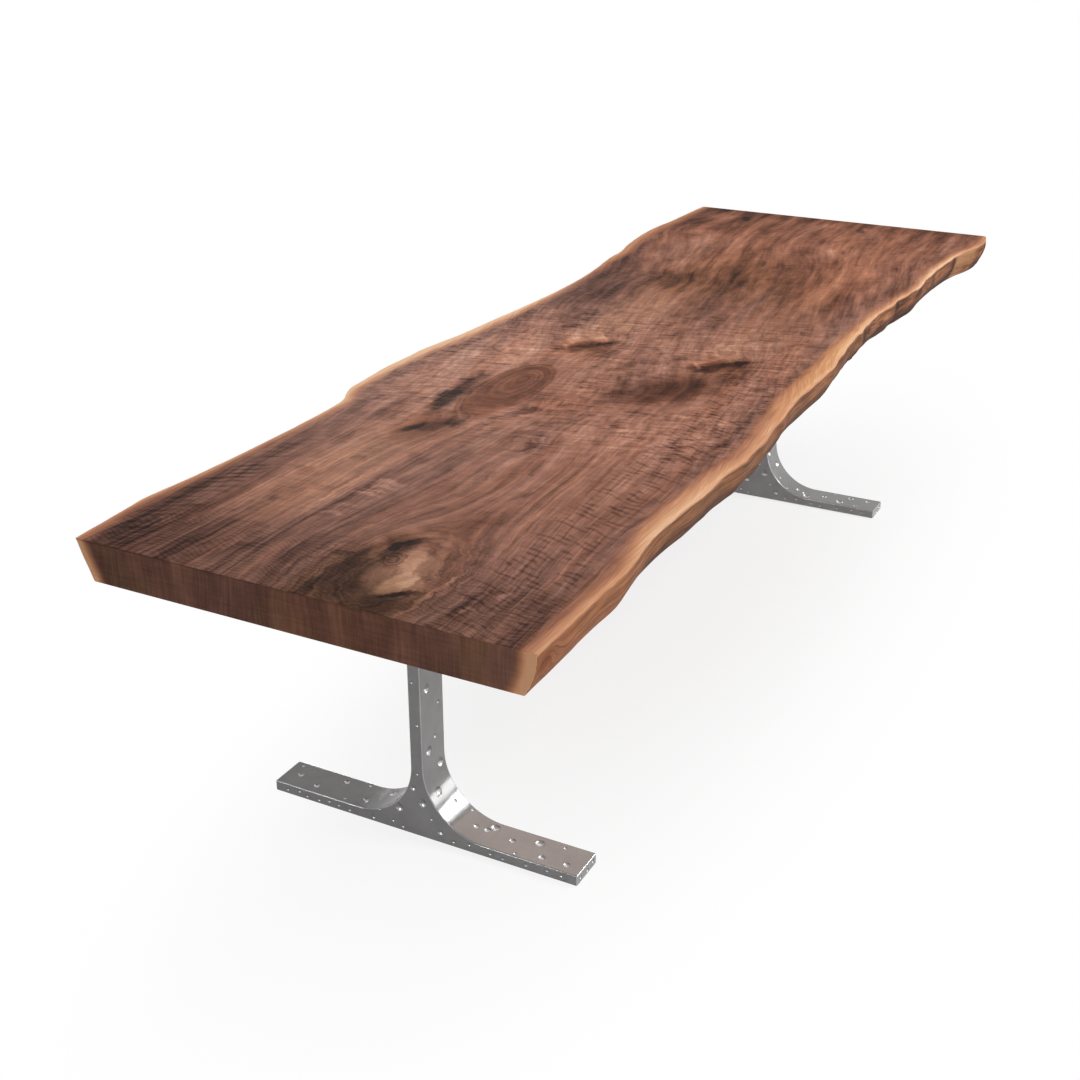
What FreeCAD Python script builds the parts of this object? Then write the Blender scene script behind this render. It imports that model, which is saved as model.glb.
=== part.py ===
import FreeCAD, Part
import math
import os

import Sketcher
from FreeCAD import Vector

# Live edge dining table: one thick walnut slab on two cast inverted-T legs.
# Millimetres. +X runs along the slab, +Y across it to the back, +Z up from the floor.
# The origin is on the floor under the centre of the slab's outline.

# Driving dimensions: alias, value and what it sets.
SIZES = (
    ("table_height", 760, "floor to the top of the slab"),
    ("slab_length", 2955, "slab between its two sawn ends"),
    ("slab_width", 954, "slab across its widest live edges"),
    ("slab_thickness", 75, "slab through"),
    ("front_undercut", 22, "how far the front live edge leans in towards the bottom"),
    ("back_undercut", 31, "how far the back live edge leans in towards the bottom"),
    ("front_roundness", 2.2, "1 is a straight slope, more keeps the edge upright for longer"),
    ("back_roundness", 1.0, "the same for the back live edge"),
    ("slab_ease", 2, "rounding of the sawn ends' top and bottom arrises"),
    ("leg_overhang", 480.5, "from each sawn end in to the middle of its leg"),
    ("leg_offset", 25, "legs behind the middle of the slab's outline"),
    ("leg_depth", 85, "casting, along the slab"),
    ("foot_length", 712, "casting's foot, across the slab"),
    ("foot_thickness", 24, "casting's foot at its tips"),
    ("post_width", 28, "casting's post, across the slab"),
    ("foot_sweep", 138, "radius from the post into the foot"),
    ("head_length", 290, "casting's head, across the slab"),
    ("head_thickness", 14, "casting's head at its tips"),
    ("head_sweep", 60, "radius from the post into the head"),
    ("casting_ease", 2.5, "rounding of the casting's arrises"),
    ("plate_length", 520, "mounting plate, across the slab"),
    ("plate_width", 240, "mounting plate, along the slab"),
    ("plate_thickness", 10, "mounting plate through"),
    ("plate_corner", 12, "mounting plate's corner radius"),
    ("slot_width", 9, "mounting plate's slots"),
    ("slot_length", 17, "mounting plate's slots, end to end across the slab"),
    ("screw_rows", 4, "plate screws across the slab"),
    ("screw_columns", 2, "plate screws along the slab"),
    ("screw_row_pitch", 150, "between plate screws across the slab"),
    ("screw_column_pitch", 200, "between plate screws along the slab"),
    ("screw_diameter", 8, "plate screw's thread"),
    ("screw_length", 30, "plate screw under its head"),
    ("screw_head_diameter", 14, "plate screw's button head"),
    ("screw_head_height", 4.4, "plate screw's button head"),
    ("screw_socket", 5, "plate screw's hexagon, across flats"),
    ("screw_socket_depth", 2.6, "plate screw's hexagon"),
    ("screw_washer_diameter", 20, "washer that bridges the slot"),
    ("screw_washer_thickness", 1.6, "washer that bridges the slot"),
    ("insert_diameter", 14, "threaded insert in the slab"),
    ("insert_length", 22, "threaded insert in the slab"),
    ("insert_well", 2, "drilled depth left above the insert"),
    ("bolt_row_pitch", 230, "between leg bolts across the slab"),
    ("bolt_column_pitch", 52, "between leg bolts along the slab"),
    ("bolt_hole", 11, "casting's bolt holes"),
    ("bolt_diameter", 10, "leg bolt's thread"),
    ("bolt_length", 25, "leg bolt under its head"),
    ("bolt_head_diameter", 16, "leg bolt's cap head"),
    ("bolt_head_height", 10, "leg bolt's cap head"),
    ("bolt_socket", 8, "leg bolt's hexagon, across flats"),
    ("bolt_socket_depth", 5, "leg bolt's hexagon"),
    ("bolt_washer_diameter", 20, "leg bolt's washer"),
    ("bolt_washer_thickness", 2, "leg bolt's washer"),
    ("floor_gap", 2, "foot above the floor with its levellers wound in"),
    ("leveller_spacing", 640, "between the two levellers of a foot"),
    ("pad_diameter", 30, "leveller's nylon pad"),
    ("pad_thickness", 4, "leveller's nylon pad"),
    ("pad_seat_depth", 2, "socket in the pad for the stud"),
    ("pocket_diameter", 34, "recess under the foot that hides the leveller"),
    ("stud_diameter", 10, "leveller stud's thread and its button"),
    ("stud_length", 12, "leveller stud's thread"),
    ("stud_hexagon", 14, "leveller stud's spanner flange, across flats"),
    ("stud_hexagon_height", 3.5, "leveller stud's spanner flange"),
    ("stud_lift", 0.2, "spanner flange above the pad"),
    ("stop_clearance", 0.3, "spanner flange below the recess's roof"),
    ("bush_diameter", 14, "threaded bush in the foot"),
    ("bush_length", 13, "threaded bush in the foot"),
    ("fit_clearance", 0.05, "gap all round each shank, bush and insert"),
    ("washer_clearance", 0.25, "gap all round a shank in its washer"),
)

# How far each live edge lies inside the slab's widest line, at even steps from the left end to the right.
BACK_EDGE_INSETS = (
    72, 62, 62, 71, 75, 75, 75, 40, 29, 28, 33, 48, 55, 63, 67, 71, 66, 52, 38, 22, 5, 0, 8, 11, 16,
)
FRONT_EDGE_INSETS = (
    0, 3, 4, 10, 21, 18, 15, 8, 11, 22, 35, 36, 37, 46, 57, 63, 67, 57, 48, 46, 48, 44, 31, 7, 19,
)

EDGE_LEVELS = 4  # level curves down a live edge, from the top arris to the bottom one
TOUCH = 0.01  # closer than this counts as touching, when an edge is looked for
SIDES = (("left", -1), ("right", 1))  # legs along X
CORNERS = (("front", -1), ("back", 1))  # levellers along Y


class Size:
    """A number together with the spreadsheet expression that gives it."""

    def __init__(self, number, text):
        self.number = number
        self.text = text

    def joined(self, other, number, sign):
        return Size(number, f"({self.text} {sign} {as_size(other).text})")

    def __add__(self, other):
        return self.joined(other, self.number + as_size(other).number, "+")

    def __sub__(self, other):
        return self.joined(other, self.number - as_size(other).number, "-")

    def __mul__(self, other):
        return self.joined(other, self.number * as_size(other).number, "*")

    def __truediv__(self, other):
        return self.joined(other, self.number / as_size(other).number, "/")


def as_size(value):
    return value if isinstance(value, Size) else Size(value, repr(value))


class Sheet:
    """The document's spreadsheet; sheet.alias gives that cell as a Size."""

    def __init__(self, doc):
        self.cells = doc.addObject("Spreadsheet::Sheet", "sizes")
        self.row = 0
        for alias, value, meaning in SIZES:
            self.add(alias, value, meaning)
        for edge, insets in (("back", BACK_EDGE_INSETS), ("front", FRONT_EDGE_INSETS)):
            for station, inset in enumerate(insets):
                self.add(f"{edge}_inset_{station}", inset, f"{edge} live edge, step {station}")
        doc.recompute()

    def add(self, alias, value, meaning):
        self.row += 1
        self.cells.set(f"A{self.row}", meaning)
        self.cells.set(f"B{self.row}", str(value))
        self.cells.setAlias(f"B{self.row}", alias)

    def __getattr__(self, alias):
        return Size(float(self.cells.get(alias)), f"sizes.{alias}")


def bind(thing, **properties):
    """Binds properties of an object to sizes; a dot in a name is written as two underscores."""
    for name, size in properties.items():
        thing.setExpression(name.replace("__", "."), as_size(size).text)


def place(thing, x=0, y=0, z=0):
    """Binds an object's position to sizes."""
    bind(thing, Placement__Base__x=x, Placement__Base__y=y, Placement__Base__z=z)


def origin_feature(body, role):
    return next(part for part in body.Origin.OriginFeatures if part.Role == role)


def new_sketch(body, name, role="XY_Plane", height=0):
    """A sketch on one of the body's own planes, lifted off it by height."""
    sketch = body.newObject("Sketcher::SketchObject", name)
    sketch.AttachmentSupport = [(origin_feature(body, role), "")]
    sketch.MapMode = "FlatFace"
    bind(sketch, AttachmentOffset__Base__z=height)
    return sketch


def pin_point(sketch, geometry, point, across, along):
    """Ties one point of a sketch to the sketch's origin by two bound distances."""
    for kind, size in (("DistanceX", across), ("DistanceY", along)):
        size = as_size(size)
        row = sketch.addConstraint(Sketcher.Constraint(kind, -1, 1, geometry, point, size.number))
        sketch.setExpression(f"Constraints[{row}]", size.text)


def draw_outline(sketch, corners):
    """A closed outline of straight lines through corners, each a pair of sizes."""
    spots = [Vector(as_size(x).number, as_size(y).number, 0) for x, y in corners]
    first = sketch.GeometryCount
    for start, end in zip(spots, spots[1:] + spots[:1]):
        sketch.addGeometry(Part.LineSegment(start, end), False)
    for step, (across, along) in enumerate(corners):
        before = first + (step - 1) % len(corners)
        sketch.addConstraint(Sketcher.Constraint("Coincident", before, 2, first + step, 1))
        pin_point(sketch, first + step, 1, across, along)


def draw_rectangle(sketch, across, along):
    """A rectangle centred on the sketch's origin."""
    left, right = across / -2, across / 2
    low, high = along / -2, along / 2
    draw_outline(sketch, ((left, low), (right, low), (right, high), (left, high)))


def draw_circle(sketch, diameter, across=0, along=0):
    """A circle of a bound diameter whose centre is tied to the sketch's origin."""
    centre = Vector(as_size(across).number, as_size(along).number, 0)
    circle = sketch.addGeometry(Part.Circle(centre, Vector(0, 0, 1), diameter.number / 2), False)
    row = sketch.addConstraint(Sketcher.Constraint("Diameter", circle, diameter.number))
    sketch.setExpression(f"Constraints[{row}]", diameter.text)
    pin_point(sketch, circle, 3, across, along)


def pad(body, sketch, length):
    """Raises a sketch upwards."""
    feature = body.newObject("PartDesign::Pad", f"{sketch.Name}_pad")
    feature.Profile = sketch
    bind(feature, Length=length)
    return feature


def pocket(body, sketch, depth, upwards=False):
    """Cuts a sketch down into the body, or up into it from below; fails if nothing is cut."""
    before = body.Shape.Volume
    feature = body.newObject("PartDesign::Pocket", f"{sketch.Name}_pocket")
    feature.Profile = sketch
    feature.Reversed = upwards
    bind(feature, Length=depth)
    body.Document.recompute()
    if not body.Shape.Volume < before:
        raise RuntimeError(f"{feature.Name} cut nothing")
    return feature


def revolve(body, sketch):
    """Turns a sketch on the XZ plane a full turn about Z."""
    feature = body.newObject("PartDesign::Revolution", f"{sketch.Name}_turned")
    feature.Profile = sketch
    feature.ReferenceAxis = (origin_feature(body, "Z_Axis"), [""])
    feature.Angle = 360
    return feature


def round_edges(body, base, name, radius, wanted):
    """Fillets the edges of a feature for which wanted(edge) holds."""
    body.Document.recompute()
    edges = [f"Edge{n}" for n, edge in enumerate(base.Shape.Edges, 1) if wanted(edge)]
    feature = body.newObject("PartDesign::Fillet", name)
    feature.Base = (base, edges)
    bind(feature, Radius=radius)
    body.Tip = feature
    return feature


def draw_hexagon(sketch, across_flats):
    """A hexagon centred on the sketch's origin, with two corners on its X axis."""
    corner = across_flats / math.sqrt(3)
    rise = across_flats / 2
    half = corner / 2
    draw_outline(
        sketch,
        (
            (corner, 0),
            (half, rise),
            (half * -1, rise),
            (corner * -1, 0),
            (half * -1, rise * -1),
            (half, rise * -1),
        ),
    )


def new_body(doc, name):
    body = doc.addObject("PartDesign::Body", name)
    body.Label = name
    return body


def spread(doc, name, pattern, places):
    """One sub-part of several copies of a pattern body, each at a place of three sizes."""
    copies = []
    for number, (x, y, z) in enumerate(places, 1):
        copy = doc.addObject("App::Link", f"{name}_{number}")
        copy.LinkedObject = pattern
        place(copy, x, y, z)
        copies.append(copy)
    group = doc.addObject("Part::Compound", name)
    group.Links = copies
    group.Label = name
    return group


# ---- heights that several sub-parts share


def slab_underside(s):
    return s.table_height - s.slab_thickness


def casting_top(s):
    return slab_underside(s) - s.plate_thickness


def foot_top(s):
    return s.floor_gap + s.foot_thickness


def hexagon_foot(s):
    """Underside of the leveller's spanner flange."""
    return s.pad_thickness + s.stud_lift


def recess_roof(s):
    """Roof of the recess under the foot, where the threaded bush starts."""
    return hexagon_foot(s) + s.stud_hexagon_height + s.stop_clearance


def leg_x(s, side):
    return (s.slab_length / 2 - s.leg_overhang) * side


def leveller_y(s, corner):
    return s.leg_offset + s.leveller_spacing * (corner / 2)


def grid_places(s, side, columns, column_pitch, rows, row_pitch, z):
    """Places of a grid of fasteners centred on a leg."""
    return [
        (
            leg_x(s, side) + column_pitch * (column - (columns - 1) / 2),
            s.leg_offset + row_pitch * (row - (rows - 1) / 2),
            z,
        )
        for column in range(columns)
        for row in range(rows)
    ]


def screw_places(s, side, z):
    columns, rows = int(s.screw_columns.number), int(s.screw_rows.number)
    return grid_places(s, side, columns, s.screw_column_pitch, rows, s.screw_row_pitch, z)


def bolt_places(s, side, z):
    return grid_places(s, side, 2, s.bolt_column_pitch, 2, s.bolt_row_pitch, z)


# ---- the slab


def edge_surface(s, edge, side):
    """A live edge: level curves at even steps along the slab, lofted from the top arris to the bottom one."""
    insets = BACK_EDGE_INSETS if edge == "back" else FRONT_EDGE_INSETS
    undercut = getattr(s, f"{edge}_undercut").number
    roundness = getattr(s, f"{edge}_roundness").number
    curves = []
    for level in range(EDGE_LEVELS):
        down = level / (EDGE_LEVELS - 1)
        points = []
        for station in range(len(insets)):
            inset = getattr(s, f"{edge}_inset_{station}").number
            x = s.slab_length.number * (station / (len(insets) - 1) - 0.5)
            y = s.slab_width.number / 2 - inset - undercut * down**roundness
            points.append(Vector(x, side * y, s.table_height.number - s.slab_thickness.number * down))
        curve = Part.BSplineCurve()
        curve.interpolate(points)
        curves.append(Part.Wire(curve.toShape()))
    return Part.makeLoft(curves).Faces[0]


def rim_on(face, axis, value):
    """The edge of a live edge that lies on a plane square to one axis."""
    for edge in face.Edges:
        box = edge.BoundBox
        low, high = getattr(box, axis + "Min"), getattr(box, axis + "Max")
        if max(abs(low - value), abs(high - value)) < TOUCH:
            return edge
    raise RuntimeError(f"no rim at {axis} = {value}")


def flat_between(front, back, axis, value):
    """The flat face that closes the slab between its two live edges."""

    def from_left_and_below(point):
        return round(point.x), point.z

    rims = [rim_on(face, axis, value) for face in (front, back)]
    ends = [sorted((vertex.Point for vertex in rim.Vertexes), key=from_left_and_below) for rim in rims]
    bridges = [Part.makeLine(start, end) for start, end in zip(*ends)]
    return Part.Face(Part.Wire(Part.sortEdges(rims + bridges)[0]))


def slab_blank(s):
    """The slab before drilling: two live edges closed by flat faces and by sawn ends with eased arrises."""
    front, back = edge_surface(s, "front", -1), edge_surface(s, "back", 1)
    half = s.slab_length.number / 2
    planes = (("Z", s.table_height.number), ("Z", slab_underside(s).number), ("X", -half), ("X", half))
    flats = [flat_between(front, back, axis, value) for axis, value in planes]
    shell = Part.makeShell([front, back] + flats)
    shell.sewShape()
    solid = Part.makeSolid(shell)
    if solid.Volume < 0:
        solid.reverse()
    arrises = [edge for edge in solid.Edges if max(edge.BoundBox.XLength, edge.BoundBox.ZLength) < TOUCH]
    return solid.makeFillet(s.slab_ease.number, arrises)


def build_slab(doc, s):
    """The slab, drilled from below for its threaded inserts."""
    blank = doc.addObject("Part::Feature", "slab_blank")
    blank.Shape = slab_blank(s)
    drills = []
    for name, side in SIDES:
        for number, (x, y, z) in enumerate(screw_places(s, side, slab_underside(s)), 1):
            drill = doc.addObject("Part::Cylinder", f"{name}_insert_drill_{number}")
            bind(drill, Radius=s.insert_diameter / 2 + s.fit_clearance)
            bind(drill, Height=s.insert_length + s.insert_well)
            place(drill, x, y, z)
            drills.append(drill)
    holes = doc.addObject("Part::Compound", "insert_holes")
    holes.Links = drills
    slab = doc.addObject("Part::Cut", "slab_top")
    slab.Base, slab.Tool = blank, holes
    slab.Label = "slab_top"
    return slab


# ---- the castings and what fixes them


def build_leg(doc, s, name, side):
    """A cast leg: foot, post and head swept into each other, drilled for bolts and recessed for levellers."""
    body = new_body(doc, f"{name}_leg")
    foot = new_sketch(body, f"{name}_foot", height=s.floor_gap)
    draw_rectangle(foot, s.leg_depth, s.foot_length)
    pad(body, foot, s.foot_thickness)
    post = new_sketch(body, f"{name}_post", height=foot_top(s))
    draw_rectangle(post, s.leg_depth, s.post_width)
    pad(body, post, casting_top(s) - s.head_thickness - foot_top(s))
    head = new_sketch(body, f"{name}_head", height=casting_top(s) - s.head_thickness)
    draw_rectangle(head, s.leg_depth, s.head_length)
    solid = pad(body, head, s.head_thickness)

    def inner_corner(height):
        """Picks the two straight corners along X where the post meets the foot or the head."""

        def wanted(edge):
            box = edge.BoundBox
            level = abs(box.ZMin - height) < TOUCH and abs(box.ZMax - height) < TOUCH
            beside = abs(abs(box.YMin) - s.post_width.number / 2) < TOUCH and box.YLength < TOUCH
            return level and beside

        return wanted

    swept = round_edges(body, solid, f"{name}_foot_sweep", s.foot_sweep, inner_corner(foot_top(s).number))
    head_underside = (casting_top(s) - s.head_thickness).number
    swept = round_edges(body, swept, f"{name}_head_sweep", s.head_sweep, inner_corner(head_underside))

    def arris(edge):
        """Picks the outline of the front and back faces, and the square corners of the foot's tips."""
        box = edge.BoundBox
        on_face = box.XLength < TOUCH and abs(abs(box.XMin) - s.leg_depth.number / 2) < TOUCH
        tip = box.YLength < TOUCH and abs(abs(box.YMin) - s.foot_length.number / 2) < TOUCH
        return on_face or tip

    round_edges(body, swept, f"{name}_arris", s.casting_ease, arris)

    recess = new_sketch(body, f"{name}_recess", height=s.floor_gap)
    bore = new_sketch(body, f"{name}_bush_bore", height=recess_roof(s))
    for _, corner in CORNERS:
        along = s.leveller_spacing * (corner / 2)
        draw_circle(recess, s.pocket_diameter, 0, along)
        draw_circle(bore, s.bush_diameter + s.fit_clearance * 2, 0, along)
    pocket(body, recess, recess_roof(s) - s.floor_gap, upwards=True)
    pocket(body, bore, s.bush_length, upwards=True)

    holes = new_sketch(body, f"{name}_bolt_holes", height=casting_top(s))
    for across in (-0.5, 0.5):
        for along in (-0.5, 0.5):
            draw_circle(holes, s.bolt_hole, s.bolt_column_pitch * across, s.bolt_row_pitch * along)
    pocket(body, holes, s.head_thickness)
    place(body, leg_x(s, side), s.leg_offset, 0)
    return body


def build_plate(doc, s, name, side):
    """A steel mounting plate with slots that let the slab move, and tapped holes for the leg's bolts."""
    body = new_body(doc, f"{name}_mounting_plate")
    outline = new_sketch(body, f"{name}_plate_outline")
    draw_rectangle(outline, s.plate_width, s.plate_length)
    blank = pad(body, outline, s.plate_thickness)

    def upright(edge):
        return edge.BoundBox.ZLength > TOUCH

    round_edges(body, blank, f"{name}_plate_corners", s.plate_corner, upright)

    tapped = new_sketch(body, f"{name}_plate_tapped", height=s.plate_thickness)
    for across in (-0.5, 0.5):
        for along in (-0.5, 0.5):
            draw_circle(
                tapped,
                s.bolt_diameter + s.fit_clearance * 2,
                s.bolt_column_pitch * across,
                s.bolt_row_pitch * along,
            )
    pocket(body, tapped, s.plate_thickness)

    slots = new_sketch(body, f"{name}_plate_slots", height=s.plate_thickness)
    columns, rows = int(s.screw_columns.number), int(s.screw_rows.number)
    for column in range(columns):
        for row in range(rows):
            x = s.screw_column_pitch * (column - (columns - 1) / 2)
            y = s.screw_row_pitch * (row - (rows - 1) / 2)
            draw_slot(slots, s.slot_width, s.slot_length, x, y)
    pocket(body, slots, s.plate_thickness)
    place(body, leg_x(s, side), s.leg_offset, casting_top(s))
    return body


def draw_slot(sketch, width, length, across, along):
    """A slot with round ends, long way along the sketch's Y, centred on a bound point."""
    radius = width / 2
    straight = (length - width) / 2
    x, y = across.number, along.number
    r, half = radius.number, straight.number
    axis = Vector(0, 0, 1)
    top, low = Vector(x, y + half, 0), Vector(x, y - half, 0)
    first = sketch.GeometryCount
    sketch.addGeometry(Part.ArcOfCircle(Part.Circle(top, axis, r), 0, math.pi), False)
    sketch.addGeometry(Part.LineSegment(Vector(x - r, y + half, 0), Vector(x - r, y - half, 0)), False)
    sketch.addGeometry(Part.ArcOfCircle(Part.Circle(low, axis, r), math.pi, 2 * math.pi), False)
    sketch.addGeometry(Part.LineSegment(Vector(x + r, y - half, 0), Vector(x + r, y + half, 0)), False)
    upper, left, lower, right = range(first, first + 4)
    for one, one_end, other, other_end in (
        (upper, 2, left, 1),
        (left, 2, lower, 1),
        (lower, 2, right, 1),
        (right, 2, upper, 1),
    ):
        sketch.addConstraint(Sketcher.Constraint("Tangent", one, one_end, other, other_end))
    row = sketch.addConstraint(Sketcher.Constraint("Radius", upper, r))
    sketch.setExpression(f"Constraints[{row}]", radius.text)
    pin_point(sketch, upper, 3, across, along + straight)
    pin_point(sketch, lower, 3, across, along - straight)


def build_fastener(doc, s, kind):
    """A socket screw standing head down, with its head's underside at z = 0 and its shank upwards."""
    head = getattr(s, f"{kind}_head_diameter") / 2
    height = getattr(s, f"{kind}_head_height") * -1
    shank = getattr(s, f"{kind}_diameter") / 2
    length = getattr(s, f"{kind}_length")
    body = new_body(doc, f"{kind}_pattern")
    profile = new_sketch(body, f"{kind}_profile", "XZ_Plane")
    draw_outline(profile, ((0, height), (head, height), (head, 0), (shank, 0), (shank, length), (0, length)))
    turned = revolve(body, profile)
    doc.recompute()
    rim = height.number

    def head_rim(edge):
        """Picks the outer rim of the head's lower face."""
        box = edge.BoundBox
        return abs(box.ZMin - rim) < TOUCH and box.ZLength < TOUCH and box.XLength > head.number

    round_edges(body, turned, f"{kind}_crown", height * -0.4, head_rim)
    socket = new_sketch(body, f"{kind}_socket_outline", height=height)
    draw_hexagon(socket, getattr(s, f"{kind}_socket"))
    pocket(body, socket, getattr(s, f"{kind}_socket_depth"), upwards=True)
    return body


def build_ring(doc, name, outer, inner, height):
    """A washer, bush or insert with its lower face at z = 0."""
    body = new_body(doc, name)
    outline = new_sketch(body, f"{name}_outline")
    draw_circle(outline, outer)
    draw_circle(outline, inner)
    pad(body, outline, height)
    return body


def build_pad(doc, s):
    """A leveller's nylon pad, with a socket on top for the stud."""
    body = new_body(doc, "pad_pattern")
    outline = new_sketch(body, "pad_outline")
    draw_circle(outline, s.pad_diameter)
    disc = pad(body, outline, s.pad_thickness)

    def rim(edge):
        """Picks both rims of the disc."""
        return edge.BoundBox.ZLength < TOUCH

    round_edges(body, disc, "pad_rims", s.pad_thickness / 4, rim)
    seat = new_sketch(body, "pad_seat", height=s.pad_thickness)
    draw_circle(seat, s.stud_diameter + s.fit_clearance * 2)
    pocket(body, seat, s.pad_seat_depth)
    return body


def build_stud(doc, s):
    """A leveller's stud: a button that turns in the pad, a spanner flange and a thread."""
    body = new_body(doc, "stud_pattern")
    low = s.pad_thickness - s.pad_seat_depth
    for name, bottom, top in (
        ("stud_button", low, hexagon_foot(s)),
        ("stud_flange", hexagon_foot(s), hexagon_foot(s) + s.stud_hexagon_height),
        (
            "stud_thread",
            hexagon_foot(s) + s.stud_hexagon_height,
            hexagon_foot(s) + s.stud_hexagon_height + s.stud_length,
        ),
    ):
        outline = new_sketch(body, name, height=bottom)
        if name == "stud_flange":
            draw_hexagon(outline, s.stud_hexagon)
        else:
            draw_circle(outline, s.stud_diameter)
        pad(body, outline, top - bottom)
    return body


def build_table(doc, s):
    """Every sub-part of the table, in its place."""
    parts = [build_slab(doc, s)]
    screw, bolt = build_fastener(doc, s, "screw"), build_fastener(doc, s, "bolt")
    bore = s.fit_clearance * 2
    gap = s.washer_clearance * 2
    screw_washer = build_ring(
        doc, "screw_washer_pattern", s.screw_washer_diameter, s.screw_diameter + gap, s.screw_washer_thickness
    )
    bolt_washer = build_ring(
        doc, "bolt_washer_pattern", s.bolt_washer_diameter, s.bolt_diameter + gap, s.bolt_washer_thickness
    )
    insert = build_ring(doc, "insert_pattern", s.insert_diameter, s.screw_diameter + bore, s.insert_length)
    bush = build_ring(doc, "bush_pattern", s.bush_diameter, s.stud_diameter + bore, s.bush_length)
    foot_pad, stud = build_pad(doc, s), build_stud(doc, s)

    plate_underside = casting_top(s)
    head_underside = casting_top(s) - s.head_thickness
    screw_seat = plate_underside - s.screw_washer_thickness
    bolt_seat = head_underside - s.bolt_washer_thickness
    for name, side in SIDES:
        parts += [
            build_leg(doc, s, name, side),
            build_plate(doc, s, name, side),
            spread(doc, f"{name}_plate_screws", screw, screw_places(s, side, screw_seat)),
            spread(doc, f"{name}_plate_washers", screw_washer, screw_places(s, side, screw_seat)),
            spread(doc, f"{name}_slab_inserts", insert, screw_places(s, side, slab_underside(s))),
            spread(doc, f"{name}_leg_bolts", bolt, bolt_places(s, side, bolt_seat)),
            spread(doc, f"{name}_leg_washers", bolt_washer, bolt_places(s, side, bolt_seat)),
        ]
        bushes = [(leg_x(s, side), leveller_y(s, corner), recess_roof(s)) for _, corner in CORNERS]
        parts.append(spread(doc, f"{name}_leveller_bushes", bush, bushes))
        for edge, corner in CORNERS:
            spot = [(leg_x(s, side), leveller_y(s, corner), as_size(0))]
            parts.append(spread(doc, f"{name}_{edge}_leveller_pad", foot_pad, spot))
            parts.append(spread(doc, f"{name}_{edge}_leveller_stud", stud, spot))
    return parts


def check(doc, parts):
    """Stops the build if any object failed or any sub-part isn't a sound closed solid."""
    for thing in doc.Objects:
        if {"Invalid", "Error"} & set(thing.State):
            raise RuntimeError(f"{thing.Name} failed: {thing.State}")
    for part in parts:
        shape = part.Shape
        if shape.isNull() or not shape.isValid() or not shape.Solids or shape.Volume <= 0:
            raise RuntimeError(f"{part.Label} is not a sound solid")


def main():
    doc = FreeCAD.newDocument("live_edge_table")
    sizes = Sheet(doc)
    parts = build_table(doc, sizes)
    doc.recompute()
    check(doc, parts)
    os.makedirs("parts", exist_ok=True)
    for part in parts:
        part.Shape.exportStep(f"parts/{part.Label}.step")
        print(part.Label, len(part.Shape.Solids), "solids", round(part.Shape.Volume / 1000, 1), "cm3")


main()
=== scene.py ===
import logging
import math
from dataclasses import dataclass, field, replace
from enum import Enum
from typing import Optional, Sequence, Union

import bmesh
import bpy
import numpy as np
from mathutils import Matrix, Vector


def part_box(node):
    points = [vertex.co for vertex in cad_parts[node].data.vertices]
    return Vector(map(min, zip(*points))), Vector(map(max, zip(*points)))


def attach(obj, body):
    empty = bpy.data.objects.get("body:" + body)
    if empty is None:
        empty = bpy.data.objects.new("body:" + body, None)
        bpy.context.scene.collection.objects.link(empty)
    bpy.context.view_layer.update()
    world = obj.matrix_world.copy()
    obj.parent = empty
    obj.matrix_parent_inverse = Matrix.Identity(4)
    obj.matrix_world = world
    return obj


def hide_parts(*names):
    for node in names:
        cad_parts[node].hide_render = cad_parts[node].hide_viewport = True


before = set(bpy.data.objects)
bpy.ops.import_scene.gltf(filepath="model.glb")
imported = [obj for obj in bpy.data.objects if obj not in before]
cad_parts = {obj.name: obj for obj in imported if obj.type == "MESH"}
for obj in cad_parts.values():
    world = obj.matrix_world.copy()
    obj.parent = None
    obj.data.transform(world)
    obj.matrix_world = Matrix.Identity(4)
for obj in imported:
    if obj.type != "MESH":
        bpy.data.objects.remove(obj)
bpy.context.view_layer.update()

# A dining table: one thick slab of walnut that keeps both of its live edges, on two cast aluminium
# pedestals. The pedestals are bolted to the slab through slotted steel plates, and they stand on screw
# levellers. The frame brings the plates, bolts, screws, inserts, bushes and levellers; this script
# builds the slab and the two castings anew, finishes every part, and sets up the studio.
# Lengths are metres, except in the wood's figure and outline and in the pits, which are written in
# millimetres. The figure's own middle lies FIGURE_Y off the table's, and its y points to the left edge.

MM = 0.001
LOG = logging.getLogger("live_edge_table")

Colour = tuple[float, float, float]


def linear(red: int, green: int, blue: int) -> Colour:
    """Turns a colour written as three 0 to 255 screen values into the linear light that shaders use.

    Args:
        red: its red, from 0 to 255.
        green: its green.
        blue: its blue.

    Returns:
        The same colour in linear light.
    """
    def channel(value: int) -> float:
        """Undoes the screen's curve for one value."""
        share = value / 255.0
        return share / 12.92 if share <= 0.04045 else ((share + 0.055) / 1.055) ** 2.4

    return channel(red), channel(green), channel(blue)


# ---------------------------------------------------------------------------------- material kit


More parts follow.
